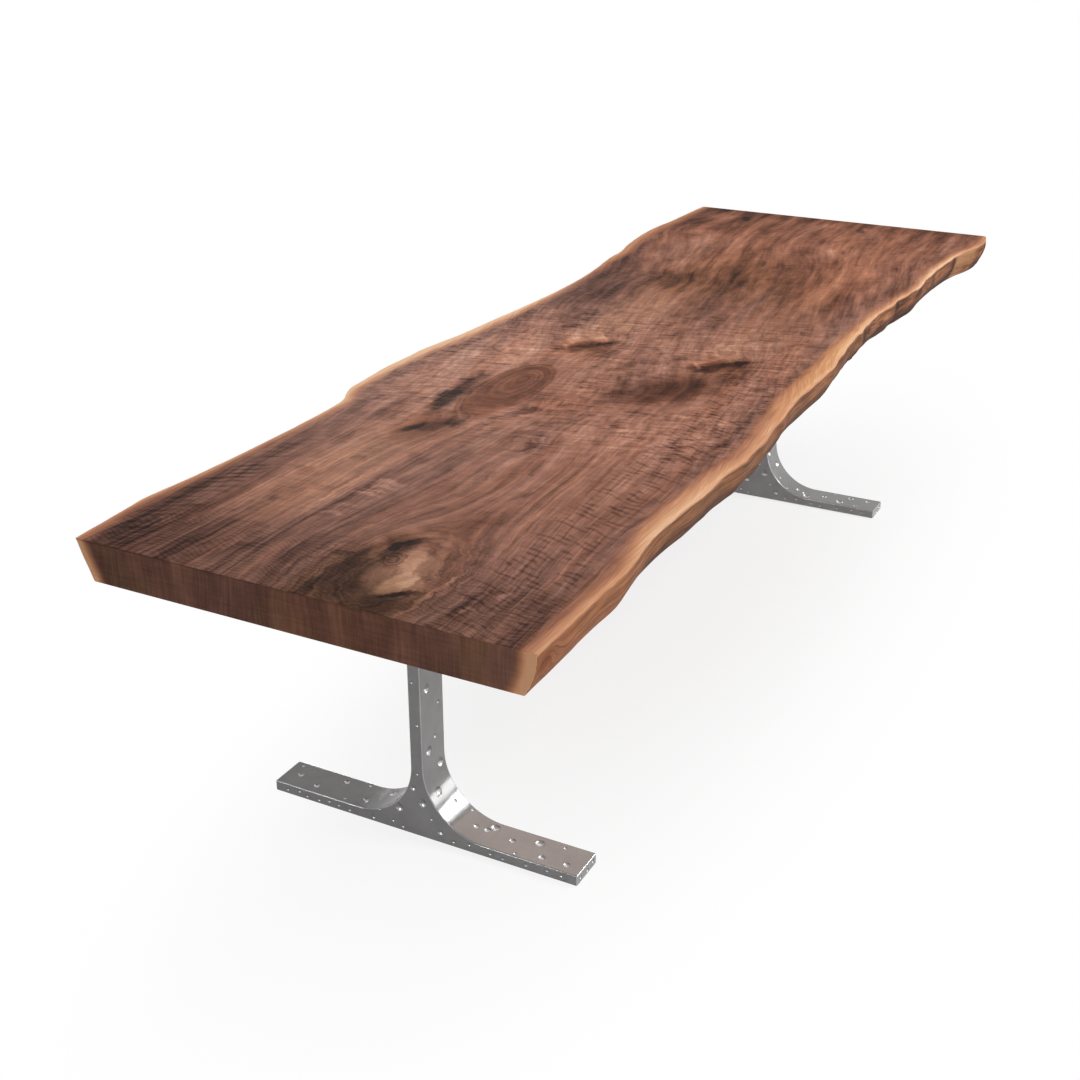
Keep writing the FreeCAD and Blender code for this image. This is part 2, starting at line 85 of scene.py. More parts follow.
class Signal:
    """A number or a vector on its way through a material, which can be added to, scaled and shaped."""

    def __init__(self, graph: "Graph", socket: bpy.types.NodeSocket) -> None:
        """Keeps the graph that the value flows in and the socket that it comes out of."""
        self.graph = graph
        self.socket = socket

    def __add__(self, other: "Feed") -> "Signal":
        """Adds a signal or a number."""
        return self.graph.math("ADD", self, other)

    def __sub__(self, other: "Feed") -> "Signal":
        """Takes a signal or a number away."""
        return self.graph.math("SUBTRACT", self, other)

    def __rsub__(self, other: "Feed") -> "Signal":
        """Takes this signal away from a number."""
        return self.graph.math("SUBTRACT", other, self)

    def __mul__(self, other: "Feed") -> "Signal":
        """Multiplies by a signal or a number."""
        return self.graph.math("MULTIPLY", self, other)

    def __truediv__(self, other: "Feed") -> "Signal":
        """Divides by a signal or a number."""
        return self.graph.math("DIVIDE", self, other)

    def over(self, other: "Feed") -> "Signal":
        """Gives the larger of this signal and another, or a number."""
        return self.graph.math("MAXIMUM", self, other)

    def under(self, other: "Feed") -> "Signal":
        """Gives the smaller of this signal and another, or a number."""
        return self.graph.math("MINIMUM", self, other)

    def power(self, exponent: float) -> "Signal":
        """Raises the signal to a power."""
        return self.graph.math("POWER", self, exponent)

    def rise(self, start: float, end: float, low: float = 0.0) -> "Signal":
        """Goes smoothly from low at start to 1 at end; with start above end it falls from 1 instead.

        Args:
            start: the value that gives low.
            end: the value that gives 1.
            low: what comes out before start.

        Returns:
            The shaped signal.
        """
        made = self.graph.node("MapRange", interpolation_type="SMOOTHSTEP")
        ends = (start, end, low, 1.0) if start <= end else (end, start, 1.0, low)
        for name, number in zip(("From Min", "From Max", "To Min", "To Max"), ends):
            made.inputs[name].default_value = number
        self.graph.feed(made.inputs["Value"], self)
        return Signal(self.graph, made.outputs["Result"])


Feed = Union[Signal, float, Sequence[float]]


@dataclass(frozen=True)
class Ellipse:
    """An ellipse by its middle, its two half sizes and its turn in degrees, counterclockwise."""

    x: float
    y: float
    long: float
    wide: float
    turn: float = 0.0


class Graph:
    """The node tree of a material or of the world, written as formulas instead of as nodes."""

    def __init__(self, owner: Union[bpy.types.Material, bpy.types.World]) -> None:
        """Empties the owner's tree.

        Args:
            owner: the material or the world.
        """
        owner.use_nodes = True
        self.tree = owner.node_tree
        self.tree.nodes.clear()

    def node(self, kind: str, **settings: object) -> bpy.types.Node:
        """Adds a node of a kind and sets its own options.

        Args:
            kind: the last part of the node's type.
            settings: its options by name.

        Returns:
            The node.
        """
        made = self.tree.nodes.new("ShaderNode" + kind)
        for key, value in settings.items():
            setattr(made, key, value)
        return made

    def feed(self, socket: bpy.types.NodeSocket, source: Feed) -> None:
        """Links a signal to a socket, or writes a plain value on it.

        Args:
            socket: the input.
            source: the signal or the value.
        """
        if isinstance(source, Signal):
            self.tree.links.new(source.socket, socket)
        else:
            socket.default_value = source

    def math(self, operation: str, *terms: Feed) -> Signal:
        """Adds one step of arithmetic on numbers.

        Args:
            operation: the kind of step.
            terms: what it takes, each a signal or a number.

        Returns:
            What comes out.
        """
        made = self.node("Math", operation=operation)
        for socket, term in zip(made.inputs, terms):
            self.feed(socket, term)
        return Signal(self, made.outputs[0])

    def shrunk(self, vector: Signal, size: float) -> Signal:
        """Divides a vector by a size.

        Args:
            vector: the vector.
            size: the size.

        Returns:
            The smaller vector.
        """
        made = self.node("VectorMath", operation="SCALE")
        self.feed(made.inputs[0], vector)
        made.inputs["Scale"].default_value = 1 / size
        return Signal(self, made.outputs["Vector"])

    def millimetres(self, shift: float = 0.0) -> Signal:
        """Gives the object's own coordinates in millimetres, shifted across the board.

        Args:
            shift: the shift.

        Returns:
            The place.
        """
        coordinates = self.node("TexCoord")
        made = self.node("Mapping", vector_type="POINT")
        made.inputs["Location"].default_value = (0.0, shift, 0.0)
        made.inputs["Scale"].default_value = (1 / MM, 1 / MM, 1 / MM)
        self.tree.links.new(coordinates.outputs["Object"], made.inputs["Vector"])
        return Signal(self, made.outputs[0])

    def split(self, vector: Signal) -> tuple[Signal, Signal, Signal]:
        """Takes a vector apart into its three numbers.

        Args:
            vector: the vector.

        Returns:
            The numbers.
        """
        made = self.node("SeparateXYZ")
        self.feed(made.inputs[0], vector)
        return tuple(Signal(self, made.outputs[i]) for i in range(3))

    def vector(self, x: Feed, y: Feed, z: Feed = 0.0) -> Signal:
        """Puts three numbers together into a vector.

        Args:
            x: the first number.
            y: the second one.
            z: the third one.

        Returns:
            The vector.
        """
        made = self.node("CombineXYZ")
        for socket, source in zip(made.inputs, (x, y, z)):
            self.feed(socket, source)
        return Signal(self, made.outputs[0])

    def attribute(self, name: str) -> Signal:
        """Reads a number that the piece's mesh carries at its vertices or its faces."""
        made = self.node("Attribute", attribute_name=name, attribute_type="GEOMETRY")
        return Signal(self, made.outputs["Fac"])

    def noise(self, where: Signal, detail: float, roughness: float, flat: bool = True, output: str = "Fac"
              ) -> Signal:
        """Gives smooth noise around 0.5 at a place, one unit of the place being one lump.

        Args:
            where: the place, already divided by the size of a lump.
            detail: how many finer layers are added.
            roughness: how strong each finer layer is.
            flat: whether only the first two numbers of the place count.
            output: Fac for one number, Color for three.

        Returns:
            The noise.
        """
        made = self.node("TexNoise", noise_dimensions="2D" if flat else "3D")
        for name, number in (("Scale", 1.0), ("Detail", detail), ("Roughness", roughness)):
            made.inputs[name].default_value = number
        self.feed(made.inputs["Vector"], where)
        return Signal(self, made.outputs[output])

    def cloud(self, x: Feed, y: Feed, detail: float = 2.0, roughness: float = 0.5) -> Signal:
        """Gives flat noise around 0.5 at two numbers, each already divided by the size of a lump."""
        return self.noise(self.vector(x, y), detail, roughness)

    def grain(self, x: Feed, y: Feed, detail: float = 2.0, roughness: float = 0.5) -> Signal:
        """Gives the same flat noise around 0."""
        return self.cloud(x, y, detail, roughness) - 0.5

    def grit(self, where: Signal, lump: float, detail: float) -> Signal:
        """Gives noise around 0 all through the solid, for a place in millimetres and the size of a lump."""
        return self.noise(self.shrunk(where, lump), detail, 0.6, flat=False) - 0.5

    def ellipse(self, where: Signal, shape: Ellipse) -> Signal:
        """Gives the square of the distance from an ellipse's middle, counted so that its rim is at 1.

        Each of the two distances along the ellipse's own axes is the dot product of the place (x, y, 1)
        with that axis's direction over its half size, and the shift that brings the middle to 0.

        Args:
            where: the place, flat, with 1 as its third number.
            shape: the ellipse.

        Returns:
            The squared distance.
        """
        c, s = math.cos(math.radians(shape.turn)), math.sin(math.radians(shape.turn))
        parts = []
        for (a, b), size in (((c, s), shape.long), ((-s, c), shape.wide)):
            made = self.node("VectorMath", operation="DOT_PRODUCT")
            self.feed(made.inputs[0], where)
            made.inputs[1].default_value = (a / size, b / size, -(a * shape.x + b * shape.y) / size)
            parts.append(Signal(self, made.outputs["Value"]))
        return self.math("MULTIPLY_ADD", parts[0], parts[0], parts[1] * parts[1])

    def mix(self, factor: Feed, first: Feed, second: Feed, how: str = "MIX") -> Signal:
        """Mixes two colours.

        Args:
            factor: the second colour's share.
            first: the colour at 0.
            second: the colour at 1.
            how: the kind of mix.

        Returns:
            The mixed colour.
        """
        made = self.node("Mix", data_type="RGBA", blend_type=how, clamp_factor=True)
        self.feed(made.inputs[0], factor)
        for socket, source in ((made.inputs[6], first), (made.inputs[7], second)):
            self.feed(socket, source if isinstance(source, Signal) else (*source, 1.0))
        return Signal(self, made.outputs[2])

    def tinted(self, colour: Signal, tint: Feed) -> Signal:
        """Multiplies a colour by a tint."""
        return self.mix(1.0, colour, tint, "MULTIPLY")

    def shades(self, factor: Signal, colour: Colour, spread: float) -> Signal:
        """Mixes a colour's darker and lighter shades, which lie a spread off it on either side."""
        dark, light = (tuple(channel * share for channel in colour) for share in (1 - spread, 1 + spread))
        return self.mix(factor, dark, light)

    def ramp(self, value: Signal, stops: Sequence[tuple[float, Colour]]) -> Signal:
        """Turns a number into a colour along a row of stops.

        Args:
            value: the number.
            stops: pairs of a number and its colour, in order.

        Returns:
            The colour.
        """
        made = self.node("ValToRGB")
        points = made.color_ramp.elements
        while len(points) < len(stops):
            points.new(0.5)
        for point, (position, colour) in zip(points, stops):
            point.position = position
            point.color = (*colour, 1.0)
        self.feed(made.inputs[0], value)
        return Signal(self, made.outputs[0])

    def show(self, output: str, shaded: bpy.types.Node, plain: bpy.types.Node, share: Signal) -> None:
        """Sends one shader to the output, and another one in its place by a share.

        Args:
            output: the output node's kind.
            shaded: the first shader.
            plain: the other one.
            share: the other one's share.
        """
        mix = self.node("MixShader")
        self.feed(mix.inputs[0], share)
        self.tree.links.new(shaded.outputs[0], mix.inputs[1])
        self.tree.links.new(plain.outputs[0], mix.inputs[2])
        self.tree.links.new(mix.outputs[0], self.node(output).inputs["Surface"])


class Finish(Graph):
    """The node tree of one finish, which has a single Principled surface."""

    def __init__(self, name: str) -> None:
        """Makes an empty material of that name.

        Args:
            name: the finish's name.
        """
        self.material = bpy.data.materials.new(name)
        super().__init__(self.material)
        output = self.node("OutputMaterial")
        self.surface = self.node("BsdfPrincipled")
        self.tree.links.new(self.surface.outputs["BSDF"], output.inputs["Surface"])

    def done(self, colour: Signal, roughness: Signal, height: Signal, relief: float, metallic: float = 0.0,
             specular: float = 0.5) -> bpy.types.Material:
        """Feeds the surface.

        Args:
            colour: its base colour.
            roughness: its roughness.
            height: how its fine relief rises and falls.
            relief: the metres that one unit of height stands for.
            metallic: how metallic it is.
            specular: how strong its plain gloss is.

        Returns:
            The finished material.
        """
        bump = self.node("Bump")
        bump.inputs["Distance"].default_value = relief
        self.feed(bump.inputs["Height"], height)
        for name, source in (("Base Color", colour), ("Roughness", roughness), ("Metallic", metallic),
                             ("Specular IOR Level", specular), ("Normal", Signal(self, bump.outputs[0]))):
            self.feed(self.surface.inputs[name], source)
        return self.material


# ---------------------------------------------------------------------------------- the walnut


@dataclass(frozen=True)
class Mark(Ellipse):
    """A spot, smear or streak of the figure, as an ellipse in the figure's millimetres.

    dark is how much darker it makes the wood, so a light one is negative, and soft is how wide its rim
    fades, as a share of its half sizes.
    """

    dark: float = 0.2
    soft: float = 0.6


@dataclass(frozen=True)
class Swirl(Ellipse):
    """A hill in the grain's level map, which the grain lines run round: rings where it is steep."""

    height: float = 0.0


@dataclass(frozen=True)
class Patch:
    """A broad, soft patch of the slab: how it changes the wood's tone, its warmth and its olive tint."""

    x: float
    y: float
    long: float
    wide: float
    tone: float
    warmth: float = 0.0
    turn: float = 0.0
    moss: float = 0.0


def each(kind: type, *rows: Sequence[float]) -> tuple:
    """Makes one record of a kind from each row of numbers."""
    return tuple(kind(*row) for row in rows)


# A side branch left a dark knot with smears and pale flecks, and its twin left them once more.
SIDE_BRANCH = each(
    Mark,
    (-141, 128, 15, 26, -14, 0.19, 0.8), (-98, 96, 58, 25, -42, 0.18, 1.0),
    (-82, 82, 42, 12, -42, 0.20, 0.9), (-58, 66, 16, 8, -30, 0.24, 0.6), (-112, 42, 42, 24, 12, 0.13, 0.9),
    (-121, 139, 26, 5, 38, -0.22, 0.8), (-78, 132, 34, 6, -24, -0.15, 0.8),
    (-28, 92, 20, 9, 15, -0.14, 0.9), (-30, 60, 16, 9, 30, 0.13, 0.9), (-60, 150, 60, 7, 14, -0.12, 0.9),
)
TWIN_BRANCH = tuple(replace(mark, x=mark.x + 4.0, y=mark.y - 335.0) for mark in SIDE_BRANCH)

# The other marks: (along, across, half sizes, turn, dark, soft).
NEAR_MARKS = each(
    Mark,
    # the big knot by the near end: its hole, its ring, the pale wood beside it and the dark round it
    (-1376, -196, 44, 21, -12, -0.26, 0.3), (-1292, -172, 56, 17, 16, -0.25, 0.4),
    (-1312, -206, 46, 18, 26, -0.11, 0.7), (-1372, -224, 26, 20, 34, -0.24, 0.4),
    (-1303, -141, 24, 14, 10, 0.10, 0.6), (-1254, -118, 17, 9, 28, 0.50, 0.5),
    (-1262, -121, 34, 22, -15, 0.16, 0.8), (-1226, -132, 22, 9, -40, 0.18, 0.9),
    (-1276, -96, 30, 9, 24, -0.22, 0.8), (-1400, -223, 33, 8, -50, 0.34, 0.6),
    (-1450, -205, 38, 24, 10, 0.13, 0.9), (-1372, -82, 96, 12, -3, 0.16, 0.8),
    (-1440, -150, 42, 12, 8, 0.12, 0.8), (-1418, -118, 60, 14, 6, 0.10, 0.9),
    (-1290, -222, 96, 6, 21, -0.14, 0.8), (-1390, -262, 80, 4, -4, -0.16, 0.8),
    (-1372, -282, 60, 4, -4, -0.10, 0.8), (-1318, -45, 5, 26, 6, 0.13, 0.8),
    (-1196, -150, 12, 60, -16, -0.06, 0.9), (-1345, -272, 26, 4, 11, -0.15, 0.8),
    (-1330, -290, 24, 3, 12, -0.14, 0.8), (-1396, -340, 16, 5, -10, -0.20, 0.8),
    (-1334, -368, 14, 6, 2, -0.22, 0.8),
    # the near third
    (-1187, 56, 6, 17, 0, -0.16, 0.8), (-1140, 50, 4, 15, 0, -0.10, 0.8), (-1087, 50, 5, 24, 0, -0.20, 0.8),
    (-1068, 48, 4, 20, 0, -0.22, 0.8), (-1047, 48, 5, 24, 0, -0.20, 0.8), (-1026, 46, 9, 24, 4, -0.22, 0.8),
    (-1366, 105, 6, 26, 0, 0.10, 0.9), (-1287, 150, 6, 32, 4, 0.09, 0.9), (-1180, 190, 8, 9, 0, 0.15, 0.9),
    (-1099, 140, 9, 18, -20, 0.13, 0.9), (-948, 165, 12, 14, -20, 0.15, 0.9),
    (-1037, 225, 9, 18, -10, 0.13, 0.9), (-873, 252, 32, 11, 5, 0.17, 0.9),
    (-730, 262, 24, 14, 10, 0.12, 0.9), (-884, 66, 12, 26, -30, 0.10, 0.9),
    (-745, -98, 26, 8, 24, 0.20, 0.8), (-768, -90, 16, 7, -30, 0.16, 0.8),
    (-740, -112, 8, 16, 20, 0.14, 0.8), (-968, -200, 20, 5, -8, 0.14, 0.8),
    (-866, -166, 14, 4, 20, 0.12, 0.8), (-1060, 74, 200, 7, -1, 0.11, 0.9),
    (-1130, 106, 150, 4, -1, -0.11, 0.8),
    # the first inner knot, and the long dark seam over the eye
    (-745, 146, 76, 42, -22, 0.18, 1.0), (-754, 162, 24, 10, -18, 0.32, 0.7),
    (-724, 136, 32, 20, -34, 0.20, 0.9), (-687, 106, 20, 12, 20, 0.22, 0.9),
    (-672, 258, 50, 15, 8, 0.13, 0.9), (-796, 200, 30, 12, 20, -0.12, 0.8),
    (-505, 198, 124, 19, 5, 0.36, 0.85), (-560, 190, 60, 19, 5, 0.16, 0.9),
    (-410, 212, 50, 5, 6, 0.14, 0.8), (-562, 2, 28, 13, -20, 0.22, 0.8), (-548, -6, 12, 7, 0, 0.14, 0.8),
    (-310, 232, 9, 27, 8, 0.17, 0.8), (-217, 268, 6, 17, -28, 0.17, 0.8), (-224, 216, 14, 8, 20, 0.17, 0.8),
    (-285, 162, 15, 7, 20, 0.17, 0.8), (-324, -13, 14, 5, 10, 0.14, 0.8),
    (-232, 108, 16, 22, -20, 0.10, 0.9), (-245, 138, 14, 10, 0, 0.08, 0.9),
    (-466, -205, 7, 26, 0, 0.11, 0.9), (-453, -268, 18, 7, 0, 0.14, 0.8),
    # the broad brown stain, with two red-brown pins on its left
    (-302, -196, 104, 50, -32, 0.23, 1.0), (-290, -200, 62, 28, -34, 0.08, 1.0),
    (-390, -192, 22, 17, 0, 0.07, 0.9), (-408, -148, 16, 11, 0, 0.04, 0.9),
    (-350, -262, 66, 26, 0, 0.06, 0.95),
)
FAR_MARKS = each(
    Mark,
    # the flecks that repeat beside the twin knots
    (139, 70, 16, 8, 75, 0.12, 0.9), (143, -265, 16, 8, 75, 0.12, 0.9), (236, 9, 12, 8, 0, 0.16, 0.9),
    (236, -325, 12, 8, 0, 0.16, 0.9), (388, 55, 12, 10, 0, 0.10, 0.9), (388, -277, 12, 10, 0, 0.10, 0.9),
    (70, -58, 26, 16, 0, 0.12, 0.95), (57, 176, 20, 5, 40, -0.12, 0.8),
    # the far third
    (552, 165, 58, 18, 24, 0.14, 0.95), (590, 110, 40, 44, 0, 0.10, 0.95),
    (650, -8, 40, 20, 10, 0.11, 0.95), (585, -140, 34, 22, 0, 0.10, 0.95),
    (1369, 247, 24, 9, 20, 0.20, 0.9), (1371, -123, 24, 9, 15, 0.20, 0.9), (920, 150, 60, 5, 15, 0.10, 0.9),
    (900, -215, 60, 5, 15, 0.10, 0.9), (1083, -159, 20, 5, 15, 0.14, 0.9), (833, -48, 26, 11, 0, 0.10, 0.9),
)
MARKS = (*NEAR_MARKS, *SIDE_BRANCH, *TWIN_BRANCH, *FAR_MARKS)

# Dark notches and pale facets on the waney faces: (along, depth below the top, half sizes, turn, dark, soft).
EDGE_MARKS = each(
    Mark,
    (215, 48, 34, 12, -14, 0.16, 0.9), (356, 30, 15, 30, 30, 0.26, 0.7), (400, 22, 20, 7, 10, 0.16, 0.8),
    (560, 26, 26, 9, -20, -0.16, 0.8), (628, 28, 12, 32, 24, 0.30, 0.6), (665, 14, 26, 6, -8, 0.16, 0.8),
    (520, 46, 30, 8, -10, 0.18, 0.8), (800, 18, 30, 7, -12, 0.22, 0.8), (862, 40, 22, 10, -24, -0.12, 0.9),
    (960, 34, 16, 24, 20, 0.16, 0.8), (1168, 34, 15, 18, 8, 0.22, 0.9), (1400, 36, 16, 26, 20, 0.16, 0.9),
    (1372, 24, 20, 6, -30, -0.14, 0.8),
)

# How steeply the grain lines climb across the board, on their way along it: (along, slope).
GRAIN_SLOPE = (
    (-1480, 0.0), (-900, 0.01), (-620, 0.08), (-400, 0.17), (-100, 0.19), (500, 0.17), (950, 0.20),
    (1150, 0.07), (1480, 0.02),
)

# The hills of the level map: (along, across, half sizes, turn, height).
SWIRLS = each(
    Swirl,
    (-1150, 50, 330, 120, -4, -42), (-735, 140, 62, 34, -10, 48), (-440, 110, 170, 70, 3, 40),
    (-88, 92, 56, 36, -20, 50), (-84, -243, 56, 36, -20, 50), (-300, -190, 100, 55, -16, 34),
    (-560, 0, 40, 22, 0, 22), (-745, -100, 34, 22, 0, 20), (1180, 380, 120, 60, 10, -40),
    (1180, 20, 140, 60, 0, -24), (560, 150, 70, 60, 20, 30),
)

# Where the grain lies still: over the eye, the stain and the knots. Here a patch's tone is how still it is.
STILL_SPOTS = each(
    Patch,
    (-430, 106, 175, 66, 0.85, 0.0), (-305, -210, 130, 80, 0.80, 0.0, -16), (-100, 92, 60, 45, 0.6, 0.0),
    (-90, -245, 60, 45, 0.6, 0.0), (-735, 140, 70, 45, 0.6, 0.0), (-1330, -172, 170, 86, 0.65, 0.0, 4),
)

# The broad patches: (along, across, half sizes, tone, warmth, turn, moss).
PATCHES = each(
    Patch,
    # near third; its first patch is painted shade, darkening the wood towards the near end
    (-1470, 0, 210, 900, -0.10, -0.10), (-1400, 190, 120, 110, -0.13, -0.10),
    (-1400, -370, 90, 90, -0.09, -0.10), (-1400, 60, 110, 190, -0.05, -0.05),
    (-1250, 322, 420, 34, -0.13, -0.25), (-960, 170, 290, 62, 0.14, 0.10, 0, 0.35),
    (-1180, 45, 330, 40, -0.06, -0.15), (-1000, 0, 300, 60, -0.05, -0.2), (-900, -60, 260, 70, -0.02, 0.05),
    (-880, -210, 280, 85, 0.02, 0.08), (-1050, -370, 520, 60, -0.03, -0.02), (-860, 100, 130, 50, 0.09),
    (-775, -60, 80, 45, 0.08), (-1100, -165, 45, 40, -0.07, 0.10),
    (-1370, -90, 120, 36, -0.08, 0.15, -3, 0.8), (-1440, -190, 60, 70, -0.08, 0.10, 0, 0.8),
    (-1320, -180, 110, 55, 0.0, 0.15, 15, 0.45),
    # middle; its first patch is partly the wood's own pale band and partly a painted sheen
    (-350, 262, 330, 52, 0.17, 0.05), (-625, 265, 80, 55, -0.07), (-400, 180, 140, 40, 0.07),
    (-625, -220, 75, 110, 0.06), (-300, 352, 360, 34, 0.03, -0.10), (-740, 145, 85, 55, -0.04, 0.40),
    (-400, -20, 240, 60, 0.09, 0.12), (-305, -198, 100, 58, -0.09, 0.5, -28),
    (-190, -40, 120, 60, -0.04, -0.05), (-100, 90, 85, 60, -0.05, 0.25), (-95, -245, 85, 60, -0.05, 0.25),
    (-96, 94, 42, 36, -0.09, 0.7), (-92, -240, 42, 36, -0.09, 0.7), (-735, 142, 46, 30, -0.02, 0.7, -16),
    (-510, 200, 110, 17, -0.17, 0.4, 4), (-480, -290, 260, 60, 0.09, 0.10),
    (-120, -360, 260, 45, 0.02, 0.25), (20, -20, 120, 130, 0.10, 0.0), (-500, -60, 60, 50, -0.02, 0.35),
    (-470, 5, 50, 26, -0.10, 0.2), (-430, 185, 190, 14, 0.10, 0.0), (-650, 60, 90, 50, 0.08, 0.0),
    (-200, 120, 60, 90, 0.10, 0.1), (-30, 160, 110, 26, 0.10, 0.0), (-20, -200, 110, 30, 0.08, 0.0),
    (-560, -300, 200, 60, 0.05),
    # far third
    (450, 300, 240, 80, -0.14, -0.30), (340, 285, 60, 40, -0.06, -0.1), (218, 240, 30, 34, 0.15, -0.05),
    (250, 115, 300, 62, 0.15, 0.0, 0, 0.35), (220, 200, 280, 30, -0.09, -0.15), (350, 335, 260, 32, 0.08),
    (725, 180, 75, 48, 0.13), (440, -305, 190, 42, -0.12), (520, -150, 120, 45, -0.08, -0.1),
    (580, -385, 170, 36, -0.08), (960, -150, 120, 40, 0.07), (930, -300, 120, 40, 0.07),
    (1365, -220, 75, 42, -0.10), (1350, 200, 90, 90, -0.06), (1350, -385, 80, 30, -0.08),
    (300, -62, 190, 45, -0.08, -0.05), (300, -130, 200, 26, -0.07, -0.15), (60, -240, 120, 60, 0.06, -0.10),
    (300, -240, 320, 70, 0.03, 0.10, 0, 0.3), (650, 10, 190, 160, -0.16, 0.15, 0, 0.5),
    (590, 130, 120, 60, -0.05, 0.1), (640, -240, 180, 90, 0.02, 0.30), (1080, 0, 480, 560, -0.02, 0.55),
    (850, 260, 120, 80, 0.07, -0.25), (980, 220, 110, 80, 0.04, -0.15), (1030, 256, 60, 30, 0.15, -0.15),
    (1033, -120, 60, 30, 0.15, -0.15), (890, 336, 50, 20, -0.16, -0.05), (1190, 362, 60, 28, -0.18, 0.05),
    (1285, 352, 42, 34, -0.15, 0.05), (1360, 370, 110, 44, -0.08, 0.0), (1190, -20, 80, 22, -0.12, -0.1),
    (1300, -30, 60, 24, -0.12, -0.1), (1178, -73, 36, 26, -0.12), (1050, -65, 50, 26, -0.12),
    (1480, 0, 60, 900, -0.19, 0.30), (1080, 296, 40, 22, -0.12), (1178, 288, 34, 26, -0.10),
    (1100, -255, 320, 26, 0.11, 0.1), (1150, 110, 280, 20, 0.12, 0.1), (1100, -325, 330, 20, -0.06),
    (1150, 55, 280, 22, -0.06), (880, 190, 60, 60, -0.06, 0.1), (880, -170, 60, 50, -0.06, 0.1),
    (1220, 210, 60, 30, -0.06, 0.2), (1200, -150, 60, 30, -0.06, 0.2),
)


@dataclass(frozen=True)
class WalnutTones:
    """The wood's colours, from its darkest seams to its palest streaks, and the tints that turn them."""

    heart: tuple[tuple[float, Colour], ...] = (
        (0.00, linear(34, 20, 15)), (0.15, linear(72, 46, 36)), (0.30, linear(104, 70, 56)),
        (0.45, linear(132, 92, 75)), (0.60, linear(157, 112, 92)), (0.75, linear(180, 132, 109)),
        (0.90, linear(203, 155, 129)), (1.00, linear(222, 180, 152)),
    )
    sap: tuple[tuple[float, Colour], ...] = (
        (0.00, linear(140, 91, 70)), (0.35, linear(178, 121, 92)), (0.70, linear(209, 151, 114)),
        (1.00, linear(236, 190, 152)),
    )
    bark_side: tuple[tuple[float, Colour], ...] = (
        (0.00, linear(50, 31, 23)), (0.25, linear(90, 58, 43)), (0.50, linear(138, 94, 70)),
        (0.75, linear(180, 128, 96)), (1.00, linear(214, 166, 130)),
    )
    cool: Colour = (0.99, 1.03, 1.14)
    warm: Colour = (1.05, 0.88, 0.78)
    olive: Colour = (0.97, 1.04, 0.84)
    honey: Colour = (1.22, 1.06, 0.96)
    golden: Colour = (1.02, 1.01, 0.90)
    bark_cool: Colour = (0.93, 1.02, 0.94)
    bark_warm: Colour = (1.06, 0.84, 0.74)


TONES = WalnutTones()
FIGURE_Y = 25.0
BOARD_TOP = 760.0
BOARD_THICK = 75.0


def marked(graph: Graph, tone: Signal, where: Signal, marks: Sequence[Mark]) -> Signal:
    """Darkens or lightens a tone by each of a row of marks.

    A mark is full inside its ellipse and fades along a smooth step of the squared distance at its rim.

    Args:
        graph: the finish.
        tone: the wood's tone without them.
        where: the place, flat, with 1 as its third number.
        marks: the marks.

    Returns:
        The tone with them.
    """
    for mark in marks:
        away = graph.ellipse(where, mark)
        inside = away.rise((1.0 + mark.soft) ** 2, max(0.0, 1.0 - mark.soft) ** 2)
        tone = graph.math("MULTIPLY_ADD", inside, -mark.dark, tone)
    return tone


